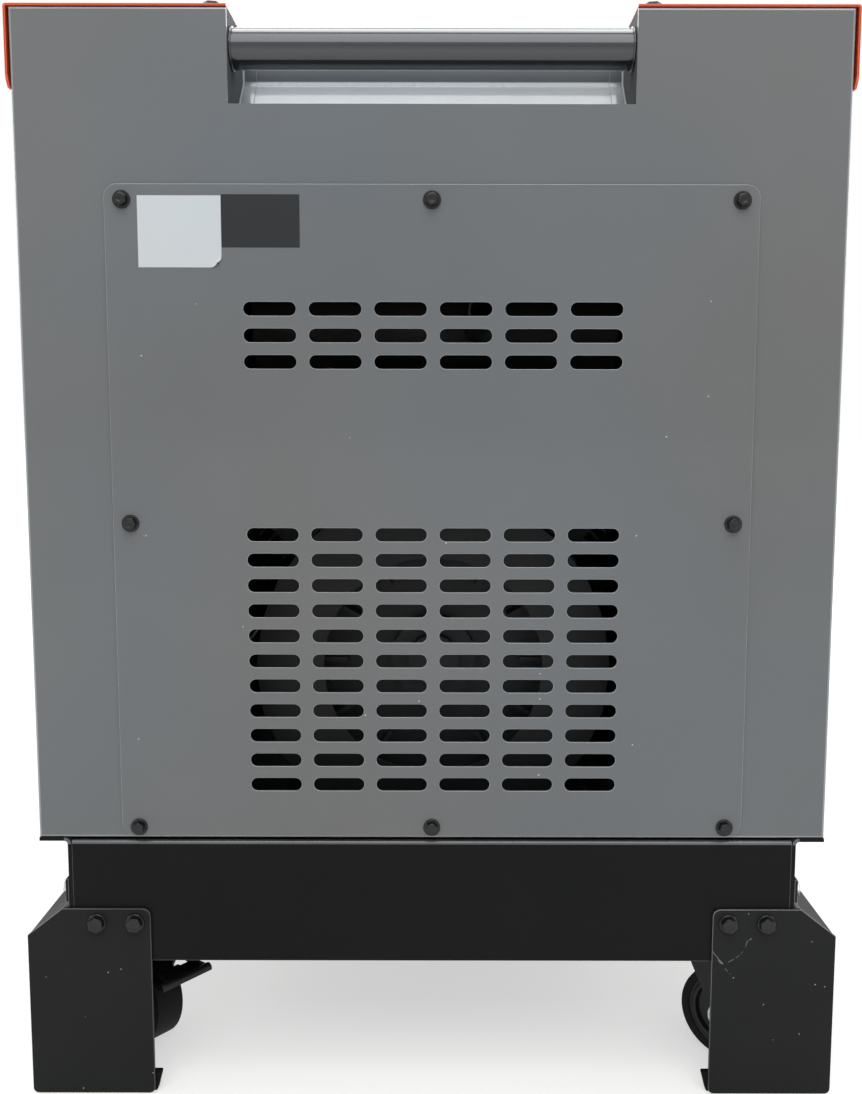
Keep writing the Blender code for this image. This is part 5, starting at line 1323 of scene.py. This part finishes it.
# Painted highlight: the hood's bends and rims take a lighter orange for the light they catch.
orange_rim_highlight = filmed(
    "orange_rim_highlight", paint=(0.760, 0.130, 0.050), chip=(0.90, 0.70, 0.60),
    drift=0.12, chips=0.10, peel_depth=0.03, grain=600.0, roughness=0.30,
    coat=0.3,
)
hood_low, hood_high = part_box("hood")
hood_half = hood_high.x
neck_above_hood = 0.0023
hood_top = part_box("fuel_tank")[1].z - neck_above_hood
hem_half = body_half + hair + sheet_gauge
flange_z = hood_top - 0.059  # the flange leans in from here to the hem
hood_notch = 0.078
hood = folded_sheet(
    "folded_hood",
    [
        (-hem_half, hood_low.z),
        (-hood_half, flange_z),
        (-hood_half, hood_top),
        (hood_half, hood_top),
        (hood_half, flange_z),
        (hem_half, hood_low.z),
    ],
    "Y",
    -body_end,
    body_end,
    sheet_gauge,
    (0.0, hood_low.z),
    bend=0.0022,
)
for end in (-1, 1):
    cut_out(
        hood,
        (-notch_half, end * (body_end - hood_notch), body_top - 0.01),
        (notch_half, end * (body_end + 0.01), hood_top + 0.01),
    )
neck_low, neck_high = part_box("fuel_cap")
filler = (neck_low + neck_high) / 2
filler_hole = 0.029
bpy.ops.object.select_all(action="DESELECT")
bpy.ops.mesh.primitive_cylinder_add(
    vertices=64, radius=filler_hole, depth=0.03, location=(filler.x, filler.y, hood_top)
)
cut_with(hood, bpy.context.object)
painted(hood, orange_enamel, orange_rim_highlight)
soften(hood, 0.0004, rim_wear_and_highlight=True)
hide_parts("hood")
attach(hood, "machine")

hood_bolt_x = 0.1855
hood_bolt_inset = 0.020
hood_bolts = []
for end in (-1, 1):
    for side in (-1, 1):
        seat = (side * hood_bolt_x, end * (body_end - hood_bolt_inset), hood_top)
        hood_bolts.append(copy_of(bolt_pattern, seat, (0, 0, 1), 0.3 * side + end))
hood_fixings = joined("hood_bolts", hood_bolts)
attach(hood_fixings, "machine")
bpy.data.objects.remove(bolt_pattern)

cap = rimmed_copy("fuel_cap", "fuel_filler_cap", 0.0008, steps=3)
painted(cap, latch_plastic)
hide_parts("fuel_cap")
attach(cap, "fuel_cap")

# ---------------------------------------------------------------- control end
# A dark textured tray let into the front wall, with a key switch, a stop button, a breaker, a meter, four
# terminals and two lidded outlets in red and blue moulded plastic, held by six plated screws.
tray_grey = filmed(
    "tray_grey", paint=(0.030, 0.031, 0.033), chip=(0.25, 0.25, 0.25),
    drift=0.10, chips=0.04, peel_depth=0.40, grain=1300.0, roughness=0.50,
)
moulded_black = filmed(
    "moulded_black", paint=(0.016, 0.016, 0.017), chip=(0.07, 0.07, 0.07),
    drift=0.08, chips=0.02, peel_depth=0.12, grain=1500.0, roughness=0.42,
)
moulded_red = filmed(
    "moulded_red", paint=(0.50, 0.020, 0.015), chip=(0.60, 0.20, 0.18),
    drift=0.05, chips=0.02, peel_depth=0.06, grain=900.0, roughness=0.32,
)
moulded_blue = filmed(
    "moulded_blue", paint=(0.018, 0.085, 0.380), chip=(0.20, 0.25, 0.45),
    drift=0.05, chips=0.02, peel_depth=0.06, grain=900.0, roughness=0.32,
)
key_metal = filmed(
    "key_metal", paint=(0.60, 0.60, 0.58), chip=(0.40, 0.36, 0.25),
    drift=0.10, chips=0.04, peel_depth=0.10, grain=700.0, roughness=0.22,
    metallic=1.0,
)
for cad_name, name, body, width, finish, slot_name in (
    ("control_panel", "control_tray", "machine", 0.0006, tray_grey, "panel_dark_grey"),
    ("circuit_breaker", "breaker_case", "machine", 0.0010, moulded_black, "black_plastic"),
    ("breaker_lever", "breaker_toggle", "breaker_lever", 0.0008, moulded_black, "black_plastic"),
    ("ignition_key", "start_key", "ignition_key", 0.0005, key_metal, "key_steel"),
    ("emergency_stop_button", "stop_button", "emergency_stop", 0.0012, moulded_red, "red_plastic"),
    ("three_phase_socket", "three_phase_outlet", "machine", 0.0008, moulded_red, "red_plastic"),
    ("three_phase_socket_lid", "three_phase_flap", "three_phase_lid", 0.0008, moulded_red, "red_plastic"),
    ("single_phase_socket", "single_phase_outlet", "machine", 0.0008, moulded_blue, "blue_plastic"),
    (
        "single_phase_socket_lid",
        "single_phase_flap",
        "single_phase_lid",
        0.0008,
        moulded_blue,
        "blue_plastic",
    ),
):
    control = rimmed_copy(cad_name, name, width)
    painted(control, finish)
    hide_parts(cad_name)
    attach(control, body)

dial_white = filmed(
    "dial_white", paint=(0.72, 0.72, 0.69), chip=(0.60, 0.60, 0.58),
    drift=0.03, chips=0.0, peel_depth=0.02, grain=400.0, roughness=0.30,
)
tray_face = recess_low.y + sheet_gauge


def on_tray(kind, x, z, depth, material, **sizes):
    """A cylinder or box standing on the tray's face, along Y."""
    spot = (x, tray_face + depth / 2, z)
    if kind == "round":
        bpy.ops.object.select_all(action="DESELECT")
        bpy.ops.mesh.primitive_cylinder_add(depth=depth, location=spot, rotation=(math.pi / 2, 0, 0), **sizes)
        fitting = bpy.context.object
        bpy.ops.object.transform_apply()
    else:
        fitting = block(spot, (sizes["width"], depth, sizes["height"]))
    painted(fitting, material)
    return fitting


# The meter's case has a sunk dial with plain ticks and one needle.
meter_x, meter_z = -0.125, recess_high.z - 0.075
meter_depth = 0.014
dial_sink = 0.0022
meter = on_tray("box", meter_x, meter_z, meter_depth, moulded_black, width=0.070, height=0.058)
round_corners(meter, "Y", 0.007, lambda at: True)
bpy.ops.object.mode_set(mode="EDIT")
pick(meter, "FACE", lambda f: f.normal.y > 0.9)
bpy.ops.mesh.inset(thickness=0.0050, depth=0.0)
bpy.ops.mesh.inset(thickness=0.0008, depth=-dial_sink)
bpy.ops.object.mode_set(mode="OBJECT")
soften(meter, 0.0006)
dial_y = tray_face + meter_depth - dial_sink
meter.data.materials.append(dial_white)
for polygon in meter.data.polygons:
    if polygon.normal.y > 0.9 and abs(polygon.center.y - dial_y) < 0.0003:
        polygon.material_index = 1
marks_on_dial = [meter]
ticks = [(9 * step - 45, 0.0042, 0.030) for step in range(11)]  # degrees, length, how far out its middle is
needle = (-38, 0.025, 0.0155)
for turn_deg, length, out in ticks + [needle]:
    mark = block((0, 0, out), (0.0009, 0.0005, length))
    swung = Matrix.Translation((meter_x, dial_y + 0.0003, meter_z - 0.018))
    mark.data.transform(swung @ Matrix.Rotation(math.radians(-turn_deg), 4, "Y"))
    painted(mark, moulded_black)
    marks_on_dial.append(mark)
gauge_piece = joined("output_meter", marks_on_dial)
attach(gauge_piece, "machine")

# Plated parts: the ring round the key, the terminals with their knobs, and the tray's screws.
key_low, key_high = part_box("ignition_key")
bpy.ops.object.select_all(action="DESELECT")
bpy.ops.mesh.primitive_torus_add(
    major_segments=40,
    minor_segments=10,
    major_radius=0.0105,
    minor_radius=0.0018,
    location=((key_low.x + key_high.x) / 2, tray_face + 0.0004, (key_low.z + key_high.z) / 2),
    rotation=(math.pi / 2, 0, 0),
)
bezel = bpy.context.object
bpy.ops.object.transform_apply()
bezel.data.shade_smooth()
fittings = [bezel]
terminal_z = recess_low.z + 0.105
terminal_xs = (-0.160, -0.137, -0.114, -0.091)
for x in terminal_xs:
    knob = on_tray("round", x, terminal_z, 0.013, zinc, vertices=24, radius=0.0075)
    post = on_tray("round", x, terminal_z, 0.020, zinc, vertices=20, radius=0.0028)
    fittings += [knob, post]
for x in (-0.207, 0.0, 0.207):
    for z in (recess_low.z + 0.014, recess_high.z - 0.014):
        fittings.append(on_tray("round", x, z, 0.0022, zinc, vertices=24, radius=0.0042))
for fitting in fittings[1:]:
    soften(fitting, 0.0005)
hardware = joined("tray_hardware", fittings)
painted(hardware, zinc)
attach(hardware, "machine")
